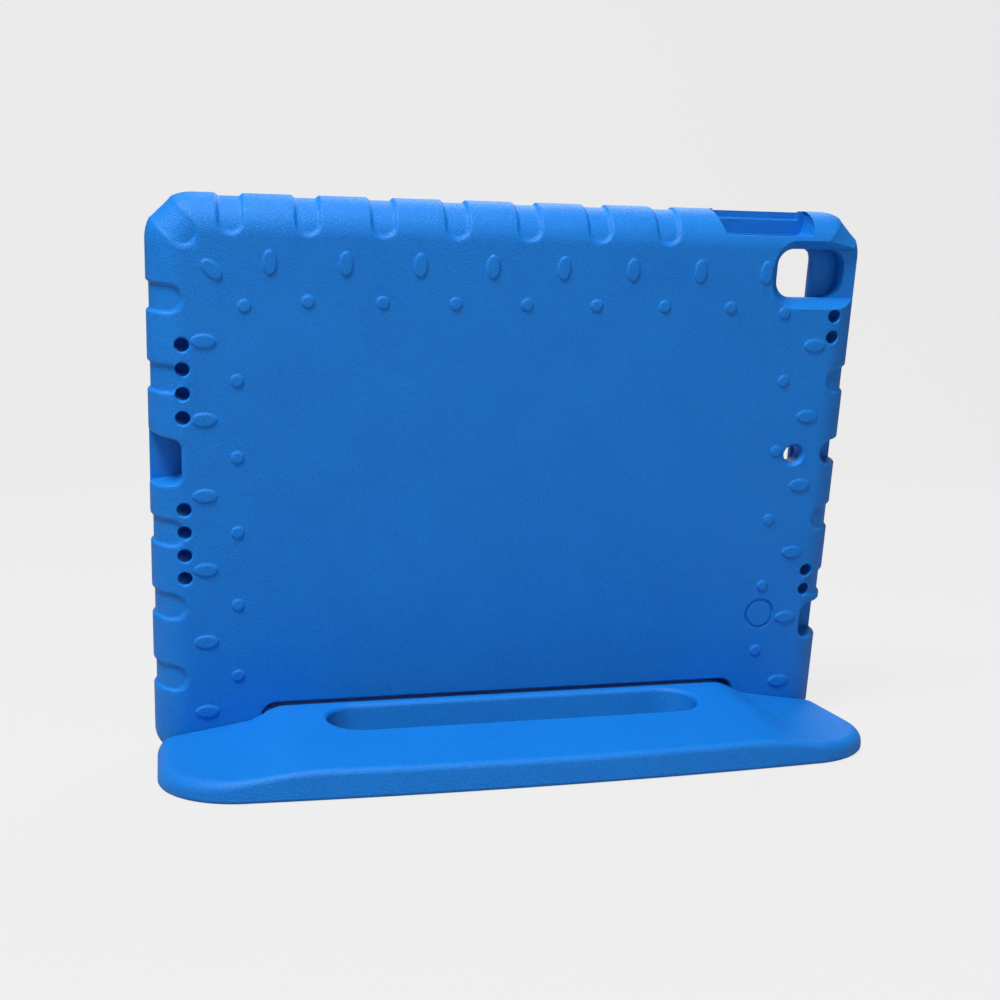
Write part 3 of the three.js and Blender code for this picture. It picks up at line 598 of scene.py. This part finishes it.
combine(shell, [pocket, mouth], "DIFFERENCE")
print(f"pocket {2 * POCKET_HALF_WIDTH:.1f} x {2 * POCKET_HALF_HEIGHT:.1f} mm")

# %% [markdown]
# ## The recess between the feet
# The handle's tongue turns in a gap between the two feet. The gap is cut right through, with rounded upper
# corners and softened edges, and its lower end runs out past the bottom.

# %% Recess and pin holes
RECESS_CORNER = 5.5
RECESS_EDGE = 1.2
recess = skin_cutter("recess", rounded_rectangle(
    -RECESS_HALF_WIDTH, RECESS_HALF_WIDTH, SHELL_BOTTOM - 3 * RECESS_CORNER, RECESS_TOP, RECESS_CORNER,
), -PAST, THICKNESS + PAST, RECESS_EDGE, spacing=1.5, far=True)
PIN_RADIUS = 3.1
PIN_IN_SHELL = 20.1
pin_turn = np.linspace(0, 2 * math.pi, 24, endpoint=False)


def pin_hole(name, from_x, to_x, centre_y, centre_z, place):
    """Round hole along X, as a ring of points at each end."""
    rings = np.stack([
        np.stack([np.full_like(pin_turn, x), centre_y + PIN_RADIUS * np.cos(pin_turn),
                  centre_z + PIN_RADIUS * np.sin(pin_turn)], 1)
        for x in (from_x, to_x)
    ])
    return closed_mesh(name, place(rings.reshape(-1, 3)).reshape(rings.shape))


holes = [recess]
for side in (-1, 1):
    holes.append(pin_hole(f"pin_hole_{side}", side * (RECESS_HALF_WIDTH - PAST),
                          side * (RECESS_HALF_WIDTH + PIN_IN_SHELL), HINGE_DEPTH, HINGE_HEIGHT, lean_back))
combine(shell, holes, "DIFFERENCE")
print(f"recess {2 * RECESS_HALF_WIDTH:.1f} mm wide")

# %% [markdown]
# ## Camera window, key slot and rim notches
# The window lies in a shallow bevelled dish that runs out over the right rim. The slot over the volume keys
# is cut into the top edge, and the plug, microphone and headphone notches into the two sides.

# %% Camera window
WINDOW_RIGHT = POCKET_HALF_WIDTH + 6
WINDOW_LEFT = WINDOW_RIGHT - 29
WINDOW_TOP = POCKET_HALF_HEIGHT - 4.2
WINDOW_BOTTOM = WINDOW_TOP - 19
WINDOW_RADIUS = 6.5
DISH_BEVEL = 4.0
DISH_DEPTH = 6.0
dish_t = np.linspace(0, 1, 12)
dish_grow = DISH_BEVEL * (1 - soft_step(0.15 + 0.85 * dish_t)) / (1 - soft_step(0.15))
dish = plain_cutter("dish", rounded_rectangle(
    WINDOW_LEFT, HALF_WIDTH + PAST + DISH_BEVEL, WINDOW_BOTTOM, WINDOW_TOP, WINDOW_RADIUS,
), np.concatenate([[-PAST], DISH_DEPTH * dish_t]), np.concatenate([[DISH_BEVEL + 2.2], dish_grow]), 0.6)
window = plain_cutter("window", rounded_rectangle(
    WINDOW_LEFT, WINDOW_RIGHT, WINDOW_BOTTOM, WINDOW_TOP, WINDOW_RADIUS,
), [-PAST, POCKET_FRONT], spacing=0.6)

# %% Key slot
KEY_RIGHT = POCKET_HALF_WIDTH - 11.2
KEY_LEFT = KEY_RIGHT - 35.5
KEY_FLOOR = POCKET_HALF_HEIGHT + 0.5
KEY_DEPTH = 15.0
KEY_EDGE = 0.9
above_top = SHELL_TOP + 6
key_slot = skin_cutter("key_slot", [
    (KEY_LEFT - 7.1, above_top), (KEY_LEFT - 5.5, SHELL_TOP + PAST), (KEY_LEFT - 1.7, KEY_FLOOR + 1.6),
    (KEY_LEFT - 1.2, KEY_FLOOR + 0.5), (KEY_LEFT - 0.4, KEY_FLOOR), (KEY_RIGHT - 0.6, KEY_FLOOR),
    (KEY_RIGHT + 0.5, KEY_FLOOR + 0.5), (KEY_RIGHT + 1.1, KEY_FLOOR + 1.5),
    (KEY_RIGHT + 1.9, KEY_FLOOR + 5), (KEY_RIGHT + 1.6, above_top),
][::-1], -PAST, KEY_DEPTH, KEY_EDGE)
key_ledge = plain_cutter("key_ledge", rounded_rectangle(
    KEY_LEFT - 2, KEY_RIGHT - 0.5, POCKET_HALF_HEIGHT + 6.1, above_top, 0.5,
), [KEY_DEPTH / 2, KEY_DEPTH + 2.0, KEY_DEPTH + 2.4], [0, 0, -0.4])
key_middle = (KEY_LEFT + KEY_RIGHT) / 2
key_gap = plain_cutter("key_gap", rounded_rectangle(
    key_middle - 14, key_middle + 14, POCKET_HALF_HEIGHT - 1, KEY_FLOOR + 1, 0.3,
), [BACK_WALL + 1.4, BACK_WALL + 5.4])

# %% Notches in the two side rims
NOTCH_DEPTH = 15.5
NOTCH_EDGE = 0.9
outside = HALF_WIDTH + 4
plug_end, plug_middle, plug_half, plug_radius = POCKET_HALF_WIDTH + 1.9, 0.6, 8.6, 3.5
turn = np.linspace(0, math.pi / 2, 10)
plug_notch = skin_cutter("plug_notch", np.concatenate([
    [(-outside, plug_middle - plug_half - 2.0)],
    np.stack([-plug_end - plug_radius + plug_radius * np.sin(turn),
              plug_middle - plug_half + plug_radius - plug_radius * np.cos(turn)], 1),
    np.stack([-plug_end - plug_radius + plug_radius * np.cos(turn),
              plug_middle + plug_half - plug_radius + plug_radius * np.sin(turn)], 1),
    [(-outside, plug_middle + plug_half + 2.0)],
]), -PAST, NOTCH_DEPTH, NOTCH_EDGE)
plug_gap = plain_cutter("plug_gap", rounded_rectangle(
    -plug_end - 1, 1 - POCKET_HALF_WIDTH, plug_middle - 7, plug_middle + 7, 0.3,
), [BACK_WALL + 0.3, POCKET_FRONT - 0.3])
sound_tip, sound_middle = POCKET_HALF_WIDTH + 2, 1.4
round_turn = np.linspace(math.pi / 2, 1.5 * math.pi, 24)
sound_notch = skin_cutter("sound_notch", np.concatenate([
    np.stack([sound_tip + SIDE_FLUTE_HALF_WIDTH * (1 + np.cos(round_turn)),
              sound_middle + SIDE_FLUTE_HALF_WIDTH * np.sin(round_turn)], 1),
    [(outside, sound_middle - SIDE_FLUTE_HALF_WIDTH), (outside, sound_middle + SIDE_FLUTE_HALF_WIDTH)],
]), -PAST, NOTCH_DEPTH, NOTCH_EDGE)
sound_gap = plain_cutter("sound_gap", rounded_rectangle(
    POCKET_HALF_WIDTH - 1, sound_tip + 2, sound_middle - 1.5, sound_middle + 1.5, 0.3,
), [BACK_WALL + 2, POCKET_FRONT - 2])
jack_end, jack_middle = POCKET_HALF_WIDTH + 0.9, 15.3 - POCKET_HALF_HEIGHT
jack_notch = skin_cutter("jack_notch", rounded_rectangle(
    jack_end, outside, jack_middle - 8, jack_middle + 8, 4.5,
), -PAST, NOTCH_DEPTH, NOTCH_EDGE)
jack_gap = plain_cutter("jack_gap", rounded_rectangle(
    POCKET_HALF_WIDTH - 1, jack_end + 1, jack_middle - 4, jack_middle + 4, 0.3,
), [BACK_WALL + 0.6, POCKET_FRONT - 0.6])
combine(shell, [dish, window, key_slot, key_ledge, key_gap, plug_notch, plug_gap,
                sound_notch, sound_gap, jack_notch, jack_gap], "DIFFERENCE")
print(f"shell now has {len(shell.data.polygons)} faces")

# %% [markdown]
# ## Speaker holes and the badge
# A row of small round holes lets the sound out at each short edge. The plain round badge is set off by a
# half-round groove.

# %% Round holes
SPEAKER_RADIUS = 2.6
SPEAKER_EDGE = 0.65
SPEAKER_INSET = 12.3
LEFT_SPEAKERS = (17.4, 8.95, 4)
RIGHT_SPEAKERS = (49.2, 8.4, 2)
SOUND_HOLE_INSET = 23.8
SOUND_HOLE_HEIGHT = 0.8
SOUND_HOLE_RADIUS = 3.4


def circle(x, z, radius, sides=40):
    """Points on a circle, counter-clockwise."""
    around = np.linspace(0, 2 * math.pi, sides, endpoint=False)
    return np.stack([x + radius * np.cos(around), z + radius * np.sin(around)], 1)


round_holes = []
speaker_rows = [
    (side, half * (first + pitch * k))
    for half in (-1, 1)
    for side, (first, pitch, count) in ((-1, LEFT_SPEAKERS), (1, RIGHT_SPEAKERS))
    for k in range(count)
]
for side, height in speaker_rows:
    outline = circle(side * (HALF_WIDTH - SPEAKER_INSET), height, SPEAKER_RADIUS)
    round_holes.append(skin_cutter(
        f"speaker_{side}_{height:.0f}", outline, -PAST, POCKET_FRONT - 1, SPEAKER_EDGE, spacing=0.4,
    ))
sound_hole = circle(HALF_WIDTH - SOUND_HOLE_INSET, SOUND_HOLE_HEIGHT, SOUND_HOLE_RADIUS)
sink_depth = np.array([-PAST, 0, 0.4, 0.9, 1.6, 2.5, BACK_WALL + 1])
sink_grow = np.array([3.4, 1.5, 1.0, 0.62, 0.26, 0, 0])
round_holes.append(plain_cutter("sound_hole", sound_hole, sink_depth, sink_grow, 0.4))
combine(shell, round_holes, "DIFFERENCE")

# %% Badge groove
BADGE_RADIUS = 5.95
BADGE_GROOVE = 0.8
BADGE_INSET = 31.7
BADGE_ABOVE_RECESS = 29.0


def ring_groove(name, x, z, radius, thick, sides=72, steps=16):
    """A torus around (x, z) lying in the back plane: a circle of radius thick carried round radius."""
    around, section = np.meshgrid(
        np.linspace(0, 2 * math.pi, sides, endpoint=False),
        np.linspace(0, 2 * math.pi, steps, endpoint=False),
        indexing="ij",
    )
    reach = radius + thick * np.cos(section)
    points = np.stack([x + reach * np.cos(around), thick * np.sin(section), z + reach * np.sin(around)], -1)
    here = np.arange(sides * steps).reshape(sides, steps)
    beside = np.roll(here, -1, 0)
    quads = np.stack([here, beside, np.roll(beside, -1, 1), np.roll(here, -1, 1)], -1).reshape(-1, 4)
    mesh = bpy.data.meshes.new(name)
    mesh.from_pydata(lean_back(points.reshape(-1, 3)).tolist(), [], quads[:, ::-1].tolist())
    mesh.update()
    made = bpy.data.objects.new(name, mesh)
    bpy.context.collection.objects.link(made)
    return made


badge_x, badge_z = HALF_WIDTH - BADGE_INSET, RECESS_TOP + BADGE_ABOVE_RECESS
badge_groove = ring_groove("badge_groove", badge_x, badge_z, BADGE_RADIUS, BADGE_GROOVE)
combine(shell, [badge_groove], "DIFFERENCE")
finish_shading(shell)
print(f"finished shell has {len(shell.data.polygons)} faces, fault {surface_fault(shell):.3f} mm2")

# %% [markdown]
# ## The handle
# The handle is one thick foam bar. Its top is highest over the tongue, falls in an S-curve to lower
# shoulders at each end, and slopes away to the near edge. Seen along the hinge each section is a round
# nose, a falling top, a rounded rim and a flat underside, so the bar is a loft of sections along X.

# %% Sizes of the handle
HANDLE_HALF_LENGTH = handle_high[0]
HANDLE_HALF_THICKNESS = HINGE_Z
HANDLE_REACH = HINGE_Y - handle_low[1]
HANDLE_BOW = 3.2
EDGE_THICKNESS = 10.6
END_THICKNESS = 7.4
HANDLE_CORNER = 32.0
SHOULDER_CORNER = 8.0
SHOULDER_RUN = 7.5
SHOULDER_DROP = 5.8
SHOULDER_END_DROP = 11.6
TONGUE_HALF_WIDTH = RECESS_HALF_WIDTH - 1.0
TONGUE_TOP_INSET = 8.5
EDGE_BLEND = 18.0
TOP_ROUNDING = 2.2
END_ROUNDING = 4.8
UNDER_ROUNDING = 1.6
FALL_POWER = 1.5
SEAM_GAP = 0.4


def hinge_line_height(x):
    """Height of the top over the hinge axis: full on the tongue, then a soft step to the shoulders,
    which fall evenly to the ends."""
    start = TONGUE_HALF_WIDTH + SHOULDER_RUN
    outwards = (np.abs(x) - start) / (HANDLE_HALF_LENGTH - start)
    drop = SHOULDER_DROP + (SHOULDER_END_DROP - SHOULDER_DROP) * outwards
    inner = TONGUE_HALF_WIDTH - TONGUE_TOP_INSET
    return HANDLE_HALF_THICKNESS - drop * soft_step((np.abs(x) - inner) / (start - inner))


def handle_top(x, behind):
    """Height of the top over the table at a distance behind the axis: it falls by a power curve from
    the hinge line to the near edge."""
    inner = TONGUE_HALF_WIDTH - EDGE_BLEND
    blend = soft_step((np.abs(x) - inner) / (HANDLE_HALF_LENGTH - EDGE_BLEND - inner))
    at_hinge = HANDLE_HALF_THICKNESS + hinge_line_height(x)
    at_edge = EDGE_THICKNESS + (END_THICKNESS - EDGE_THICKNESS) * blend
    fall = (np.clip(behind, 0, None) / HANDLE_REACH) ** FALL_POWER
    return at_hinge + (at_edge - at_hinge) * fall


def handle_edge(x):
    """Near edge in plan: slightly bowed, with a quarter circle at each end."""
    start = HANDLE_HALF_LENGTH - HANDLE_CORNER
    across = np.minimum(np.abs(x), start)
    bowed = HANDLE_REACH - HANDLE_BOW * (across / TONGUE_HALF_WIDTH) ** 2
    over = np.clip(np.abs(x) - start, 0, HANDLE_CORNER)
    return bowed - HANDLE_CORNER + np.sqrt(HANDLE_CORNER ** 2 - over ** 2)


def rim_distance(x, behind):
    """Distance in from the near edge or the end, measured from the corner's centre inside the corner."""
    start = HANDLE_HALF_LENGTH - HANDLE_CORNER
    middle = handle_edge(np.array(start)) - HANDLE_CORNER
    in_corner = (np.abs(x) > start) & (behind > middle)
    straight = np.minimum(HANDLE_HALF_LENGTH - np.abs(x), handle_edge(x) - behind)
    curved = HANDLE_CORNER - np.hypot(np.abs(x) - start, behind - middle)
    return np.where(in_corner, curved, straight)


def top_rounding(x):
    """Radius of the top's rounded rim: small along the near edge, larger at the thin ends."""
    outwards = soft_step((np.abs(x) - TONGUE_HALF_WIDTH) / (HANDLE_HALF_LENGTH - TONGUE_HALF_WIDTH))
    return TOP_ROUNDING + (END_ROUNDING - TOP_ROUNDING) * outwards


def edge_fall(distance, radius):
    """How far a quarter-circle edge falls at a distance in from the rim."""
    t = np.clip(1 - distance / radius, 0, 1)
    return radius * (1 - np.sqrt(1 - t * t))


print(f"handle reaches {HANDLE_REACH:.1f} mm behind the axis")

# %% Loft of the handle


def handle_rings():
    """Sections at stations along X, closer at the S-curves and towards the ends."""
    start = HANDLE_HALF_LENGTH - HANDLE_CORNER
    inner = TONGUE_HALF_WIDTH - EDGE_BLEND
    outer = HANDLE_HALF_LENGTH - HANDLE_CORNER * (1 - np.sin(np.linspace(0, math.pi / 2, 34)))
    last = HANDLE_HALF_LENGTH - END_ROUNDING * (1 - np.sin(np.linspace(0.2, math.pi / 2, 14)))
    half = np.concatenate([np.linspace(inner, start, 22), outer, last])
    half = np.unique(np.round(half, 4))
    half = half[np.concatenate([[True], np.diff(half) > 0.02])]
    stations_x = np.concatenate([-half[::-1], np.linspace(-inner, inner, 24)[1:-1], half])
    x = stations_x[:, None]
    radius = top_rounding(x)
    rounding = radius * (1 - np.sin(np.linspace(0, math.pi / 2, 14)))[None, :]
    edge = handle_edge(x)
    inside = (edge - 8) * np.linspace(0, 1, 26)[None, :]
    flat = radius + (8 - radius) * np.array([0.75, 0.5, 0.25])[None, :]
    behind = np.concatenate([inside, edge - flat, edge - rounding], 1)
    top = handle_top(x, behind) - edge_fall(rim_distance(x, behind), radius)
    under_in = UNDER_ROUNDING * (1 - np.cos(np.linspace(0, math.pi / 2, 6)))
    under_behind = edge - np.concatenate([under_in, [10.0, 40.0]])[None, :]
    under_behind = np.concatenate([under_behind, np.zeros_like(edge)], 1)
    under = edge_fall(rim_distance(x, under_behind), UNDER_ROUNDING)
    turn = np.linspace(-math.pi / 2, math.pi / 2, 26)[1:-1]
    nose_behind = -HANDLE_HALF_THICKNESS * np.cos(turn)[None, :] + 0 * x
    reach = np.where(np.sin(turn) > 0, np.clip(hinge_line_height(x), 0, None), HANDLE_HALF_THICKNESS)
    nose = HANDLE_HALF_THICKNESS + reach * np.sin(turn)
    behind = np.concatenate([behind, under_behind, nose_behind], 1)
    height = np.concatenate([top, under, nose], 1)
    rings = np.stack([np.broadcast_to(x, behind.shape), HINGE_Y - behind, height], -1)
    return rings * MM


bar = handle_rings()
handle = closed_mesh("foam_handle", bar)
print(f"handle of {bar.shape[0]} sections by {bar.shape[1]} points")

# %% [markdown]
# ## Finger slot, shoulders and pin holes
# The slot is a long round-ended hole with a soft mouth that follows the sloping top. Beside the tongue the
# nose is taken away, so that the shell's feet stand there, and the faces left lie along the leaning shell.

# %% Cuts in the handle
SLOT_HALF_LENGTH = TONGUE_HALF_WIDTH - 22.5
SLOT_WIDTH = 26.4
SLOT_SETBACK = 17.4
SLOT_TOP_FLARE = 1.9
SLOT_UNDER_FLARE = 1.4


def slot_cutter():
    """Round-ended outline carried down through the handle. The mouth widens by a quarter circle that
    starts at the sloping top, and the underside by a smaller one."""
    radius = SLOT_WIDTH / 2
    middle = SLOT_SETBACK + radius
    outline = resample(rounded_rectangle(
        -SLOT_HALF_LENGTH, SLOT_HALF_LENGTH, middle - radius, middle + radius, radius - 0.01, 24), 0.9)
    normals = outward_normals(outline)
    turn = np.linspace(0.22, math.pi / 2, 12)
    rings = []

    def ring(grow, height):
        x = outline[:, 0] + grow * normals[:, 0]
        behind = outline[:, 1] + grow * normals[:, 1]
        z = height(x, behind) + 0 * x
        rings.append(np.stack([x, HINGE_Y - behind, z], 1))

    ring(SLOT_TOP_FLARE + 1.0, lambda x, s: np.full_like(x, 2 * HANDLE_HALF_THICKNESS + PAST))
    ring(SLOT_TOP_FLARE + 0.4, lambda x, s: handle_top(x, s) + 0.3)
    for angle in turn:
        sink = SLOT_TOP_FLARE * (1 - math.cos(angle))
        ring(SLOT_TOP_FLARE * (1 - math.sin(angle)), lambda x, s: handle_top(x, s) - sink)
    under = SLOT_UNDER_FLARE * (1 - np.cos(np.linspace(math.pi / 2, 0.2, 6)))
    widen = SLOT_UNDER_FLARE * (1 - np.sin(np.linspace(math.pi / 2, 0.2, 6)))
    for height, grow in zip(under, widen):
        ring(grow, lambda x, s: np.full_like(x, height))
    ring(SLOT_UNDER_FLARE + 1.0, lambda x, s: np.full_like(x, -PAST))
    return closed_mesh("slot", np.stack(rings) * MM)


def shoulder_cutter(side):
    """Block beside the tongue. Its near face lies SEAM_GAP off the leaning back of the shell, and it
    bends round the back corner by a quarter circle."""
    turn = np.linspace(0, math.pi / 2, 16)
    rings = []
    for z in np.linspace(-PAST, 2 * HANDLE_HALF_THICKNESS + PAST, 8):
        near = (HINGE_DEPTH + (z - HANDLE_HALF_THICKNESS) * math.sin(LEAN)) / math.cos(LEAN) + SEAM_GAP
        far = -2 * HANDLE_HALF_THICKNESS
        outline = np.concatenate([
            [(TONGUE_HALF_WIDTH, far), (TONGUE_HALF_WIDTH, near)],
            np.stack([HANDLE_HALF_LENGTH - SHOULDER_CORNER * (1 - np.sin(turn)),
                      near + SHOULDER_CORNER * (1 - np.cos(turn))], 1),
            [(HANDLE_HALF_LENGTH + PAST, near + SHOULDER_CORNER), (HANDLE_HALF_LENGTH + PAST, far)],
        ])
        rings.append(np.stack([side * outline[:, 0], HINGE_Y - outline[:, 1], np.full(len(outline), z)], 1))
    return closed_mesh(f"shoulder_{side}", np.stack(rings) * MM)


PIN_IN_HANDLE = 22.1
cuts = [shoulder_cutter(-1), shoulder_cutter(1), slot_cutter()]
for side in (-1, 1):
    cuts.append(pin_hole(f"handle_pin_hole_{side}", side * (TONGUE_HALF_WIDTH - PIN_IN_HANDLE),
                         side * (TONGUE_HALF_WIDTH + PAST), HINGE_Y, HINGE_Z, lambda p: p * MM))
combine(handle, cuts, "DIFFERENCE")
finish_shading(handle)
print(f"finished handle has {len(handle.data.polygons)} faces, fault {surface_fault(handle):.3f} mm2")

# %% [markdown]
# ## EVA foam
# The real material is closed-cell EVA foam, moulded under heat in a tool with a fine leather grain. To the
# eye it is matt and soft: a broad dim highlight, a grain of tiny pebbles with creases between them about
# 0.8 mm apart, and slow unevenness in colour. The grain is drawn at 1.1 mm, so that it shows.

# %% Colours and a node helper
FOAM_BLUE = "#0873CC"
FOAM_DEEP = "#0771CA"
FOAM_PALE = "#0975CE"


def linear(hex_colour):
    """sRGB hex to linear red, green, blue and 1, by the sRGB transfer curve."""
    channels = np.array([int(hex_colour[k:k + 2], 16) for k in (1, 3, 5)]) / 255
    low = channels / 12.92
    high = ((channels + 0.055) / 1.055) ** 2.4
    return (*np.where(channels <= 0.04045, low, high).tolist(), 1.0)


def node(tree, kind, inputs=None, **settings):
    """Adds a node, sets its own settings, and sets or links its inputs by name or number."""
    made = tree.nodes.new(kind)
    for name, value in settings.items():
        setattr(made, name, value)
    for name, value in (inputs or {}).items():
        if isinstance(value, bpy.types.NodeSocket):
            tree.links.new(value, made.inputs[name])
        else:
            made.inputs[name].default_value = value
    return made


def new_material(name):
    """An empty node material with its output, returned as (material, tree, output)."""
    material = bpy.data.materials.new(name)
    material.use_nodes = True
    tree = material.node_tree
    tree.nodes.clear()
    return material, tree, node(tree, "ShaderNodeOutputMaterial")


# %% Foam material
GRAIN = 1.1 * MM
PORE = 0.45 * MM
CLOUD = 26 * MM
GRAIN_BEND = 0.0008


def eva_foam():
    """Moulded EVA foam: pebbled grain from cell edges, fine pores, slow clouds of colour, and painted shade
    that darkens the grain's creases.
    """
    material, tree, output = new_material("moulded_eva_foam")
    place = node(tree, "ShaderNodeTexCoord").outputs["Object"]
    warp = node(tree, "ShaderNodeTexNoise", {"Vector": place, "Scale": 0.35 / GRAIN, "Detail": 2.0})
    bent = node(tree, "ShaderNodeMix", {0: GRAIN_BEND, 4: place, 5: warp.outputs["Color"]},
                data_type="VECTOR")
    pebbles = node(tree, "ShaderNodeTexVoronoi", {"Vector": bent.outputs[1], "Scale": 1 / GRAIN},
                   feature="DISTANCE_TO_EDGE")
    crease = node(tree, "ShaderNodeMapRange", {
        "Value": pebbles.outputs["Distance"], "From Min": 0.0, "From Max": 0.22,
    }, interpolation_type="SMOOTHSTEP")
    pores = node(tree, "ShaderNodeTexNoise", {
        "Vector": place, "Scale": 1 / PORE, "Detail": 3.0, "Roughness": 0.6,
    })
    grain = node(tree, "ShaderNodeMix", {0: 0.38, 2: crease.outputs["Result"], 3: pores.outputs["Fac"]})
    relief = node(tree, "ShaderNodeBump", {
        "Height": grain.outputs[0], "Strength": 0.5, "Distance": 0.24 * MM,
    })
    cloud = node(tree, "ShaderNodeTexNoise", {"Vector": place, "Scale": 1 / CLOUD, "Detail": 3.0})
    tint = node(tree, "ShaderNodeValToRGB", {"Fac": cloud.outputs["Fac"]})
    tint.color_ramp.elements[0].position = 0.32
    tint.color_ramp.elements[0].color = linear(FOAM_DEEP)
    tint.color_ramp.elements[1].position = 0.7
    tint.color_ramp.elements[1].color = linear(FOAM_PALE)
    middle = tint.color_ramp.elements.new(0.5)
    middle.color = linear(FOAM_BLUE)
    # Painted shade: the grain's creases are darkened in the base colour by up to 14 %, standing in for the
    # shade that falls into them.
    painted_crease_shade = node(tree, "ShaderNodeMapRange", {
        "Value": crease.outputs["Result"], "To Min": 0.86, "To Max": 1.0,
    })
    colour = node(tree, "ShaderNodeMix", {"Factor": 1.0}, data_type="RGBA", blend_type="MULTIPLY")
    tree.links.new(tint.outputs["Color"], colour.inputs[6])
    tree.links.new(painted_crease_shade.outputs["Result"], colour.inputs[7])
    rough = node(tree, "ShaderNodeMapRange", {
        "Value": pores.outputs["Fac"], "To Min": 0.46, "To Max": 0.6,
    })
    surface = node(tree, "ShaderNodeBsdfPrincipled", {
        "Base Color": colour.outputs[2], "Roughness": rough.outputs["Result"], "IOR": 1.45,
        "Normal": relief.outputs["Normal"], "Specular IOR Level": 0.3,
    })
    tree.links.new(surface.outputs["BSDF"], output.inputs["Surface"])
    return material


foam = eva_foam()
for piece, body, cad_node in ((shell, "shell", "bumper_shell"), (handle, "stand", "stand_handle")):
    piece.data.materials.clear()
    piece.data.materials.append(foam)
    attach(piece, body)
    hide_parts(cad_node)
print("foam on both pieces")

# %% [markdown]
# ## Nylon pins
# The two pivot pins are plain moulded nylon rods, almost hidden between the feet and the tongue. The CAD
# pieces have the right shape, so they stay and only get a material with faint drawing lines along them.

# %% Pin material
PIN_GREY = "#2B2E33"


def nylon():
    """Moulded nylon: dark, waxy, with faint lines along the rod."""
    material, tree, output = new_material("moulded_nylon")
    place = node(tree, "ShaderNodeTexCoord").outputs["Object"]
    stretched = node(tree, "ShaderNodeMapping", {"Vector": place, "Scale": (60.0, 1500.0, 1500.0)})
    lines = node(tree, "ShaderNodeTexNoise", {"Vector": stretched.outputs["Vector"], "Scale": 1.0})
    relief = node(tree, "ShaderNodeBump", {
        "Height": lines.outputs["Fac"], "Strength": 0.2, "Distance": 0.05 * MM,
    })
    surface = node(tree, "ShaderNodeBsdfPrincipled", {
        "Base Color": linear(PIN_GREY), "Roughness": 0.42, "IOR": 1.53, "Normal": relief.outputs["Normal"],
    })
    tree.links.new(surface.outputs["BSDF"], output.inputs["Surface"])
    return material


pin_material = nylon()
for name in ("pivot_pin_left", "pivot_pin_right"):
    frame["nodes"][name].data.materials.clear()
    frame["nodes"][name].data.materials.append(pin_material)

# %% [markdown]
# ## Studio
# A pale sweep of paper, one big soft light above and to the left of the camera, and two weaker ones: one
# beside the camera and one that lights the open front, which the camera doesn't see. The paper and the
# world show a flat pale grey to the camera, and the paper keeps the object's soft shadow.

# %% Floor and backdrop
PAPER = "#F3F3F3"
PAPER_SHADE = "#A8A8A8"


def paper_sweep():
    """A floor that curves up into a backdrop: a quarter circle between two flat stretches, carried
    along X."""
    radius = 0.5
    turn = np.linspace(0, math.pi / 2, 24)
    profile_y = np.concatenate([[-3.0], 1.2 + radius * np.sin(turn), [1.2 + radius]])
    profile_z = np.concatenate([[0.0], radius * (1 - np.cos(turn)), [3.2]])
    across = np.array([-3.5, 3.5])
    x, y = np.meshgrid(across, profile_y)
    z = np.broadcast_to(profile_z[:, None], x.shape)
    points = np.stack([x, y, z], -1).reshape(-1, 3)
    row = np.arange(len(profile_y) - 1) * 2
    faces = np.stack([row, row + 1, row + 3, row + 2], 1)
    mesh = bpy.data.meshes.new("paper_sweep")
    mesh.from_pydata(points.tolist(), [], faces.tolist())
    mesh.shade_smooth()
    made = bpy.data.objects.new("paper_sweep", mesh)
    bpy.context.collection.objects.link(made)
    return made


def paper():
    """Matt paper that the camera sees evenly lit, and that still takes the object's shadow."""
    material, tree, output = new_material("matt_paper")
    seen = node(tree, "ShaderNodeLightPath")
    matt = node(tree, "ShaderNodeBsdfDiffuse", {"Color": linear(PAPER_SHADE)})
    glow = node(tree, "ShaderNodeEmission", {"Color": linear(PAPER), "Strength": 1.0})
    share = node(tree, "ShaderNodeMath", {0: seen.outputs["Is Camera Ray"], 1: 0.88}, operation="MULTIPLY")
    mixed = node(tree, "ShaderNodeMixShader", {
        "Fac": share.outputs[0], 1: matt.outputs[0], 2: glow.outputs[0],
    })
    tree.links.new(mixed.outputs[0], output.inputs["Surface"])
    return material


sweep = paper_sweep()
sweep.data.materials.append(paper())

# %% Lights


def soft_light(name, place, target, size, power):
    """A square area light of that size at a place, facing a target."""
    data = bpy.data.lights.new(name, "AREA")
    data.size = size
    data.energy = power
    lamp = bpy.data.objects.new(name, data)
    bpy.context.collection.objects.link(lamp)
    lamp.visible_camera = False
    toward = Vector(target) - Vector(place)
    lamp.matrix_world = look(place, toward, (0, 0, 1) if abs(toward.normalized().z) < 0.99 else (0, 1, 0))
    return lamp


middle_of_case = (0.0, -0.02, 0.1)
KEY_PLACE, KEY_SIZE, KEY_WATTS = (-0.49, -0.58, 1.29), 0.45, 27
FILL_PLACE, FILL_SIZE, FILL_WATTS = (0.3, -1.6, 0.5), 1.0, 3.2
FRONT_PLACE, FRONT_SIZE, FRONT_WATTS = (0.5, 1.1, 1.4), 0.9, 14
SKY_STRENGTH = 0.23
soft_light("key", KEY_PLACE, middle_of_case, KEY_SIZE, KEY_WATTS)
soft_light("fill", FILL_PLACE, middle_of_case, FILL_SIZE, FILL_WATTS)
soft_light("front_fill", FRONT_PLACE, middle_of_case, FRONT_SIZE, FRONT_WATTS)
world = bpy.data.worlds.new("studio")
bpy.context.scene.world = world
world.use_nodes = True
sky = world.node_tree
sky.nodes.clear()
soft = node(sky, "ShaderNodeBackground", {"Color": (1, 1, 1, 1), "Strength": SKY_STRENGTH})
wall = node(sky, "ShaderNodeBackground", {"Color": linear(PAPER), "Strength": 1.0})
pale = node(sky, "ShaderNodeMixShader", {
    "Fac": node(sky, "ShaderNodeLightPath").outputs["Is Camera Ray"], 1: soft.outputs[0], 2: wall.outputs[0],
})
sky.links.new(pale.outputs[0], node(sky, "ShaderNodeOutputWorld").inputs["Surface"])
bpy.context.scene.view_settings.view_transform = "Standard"
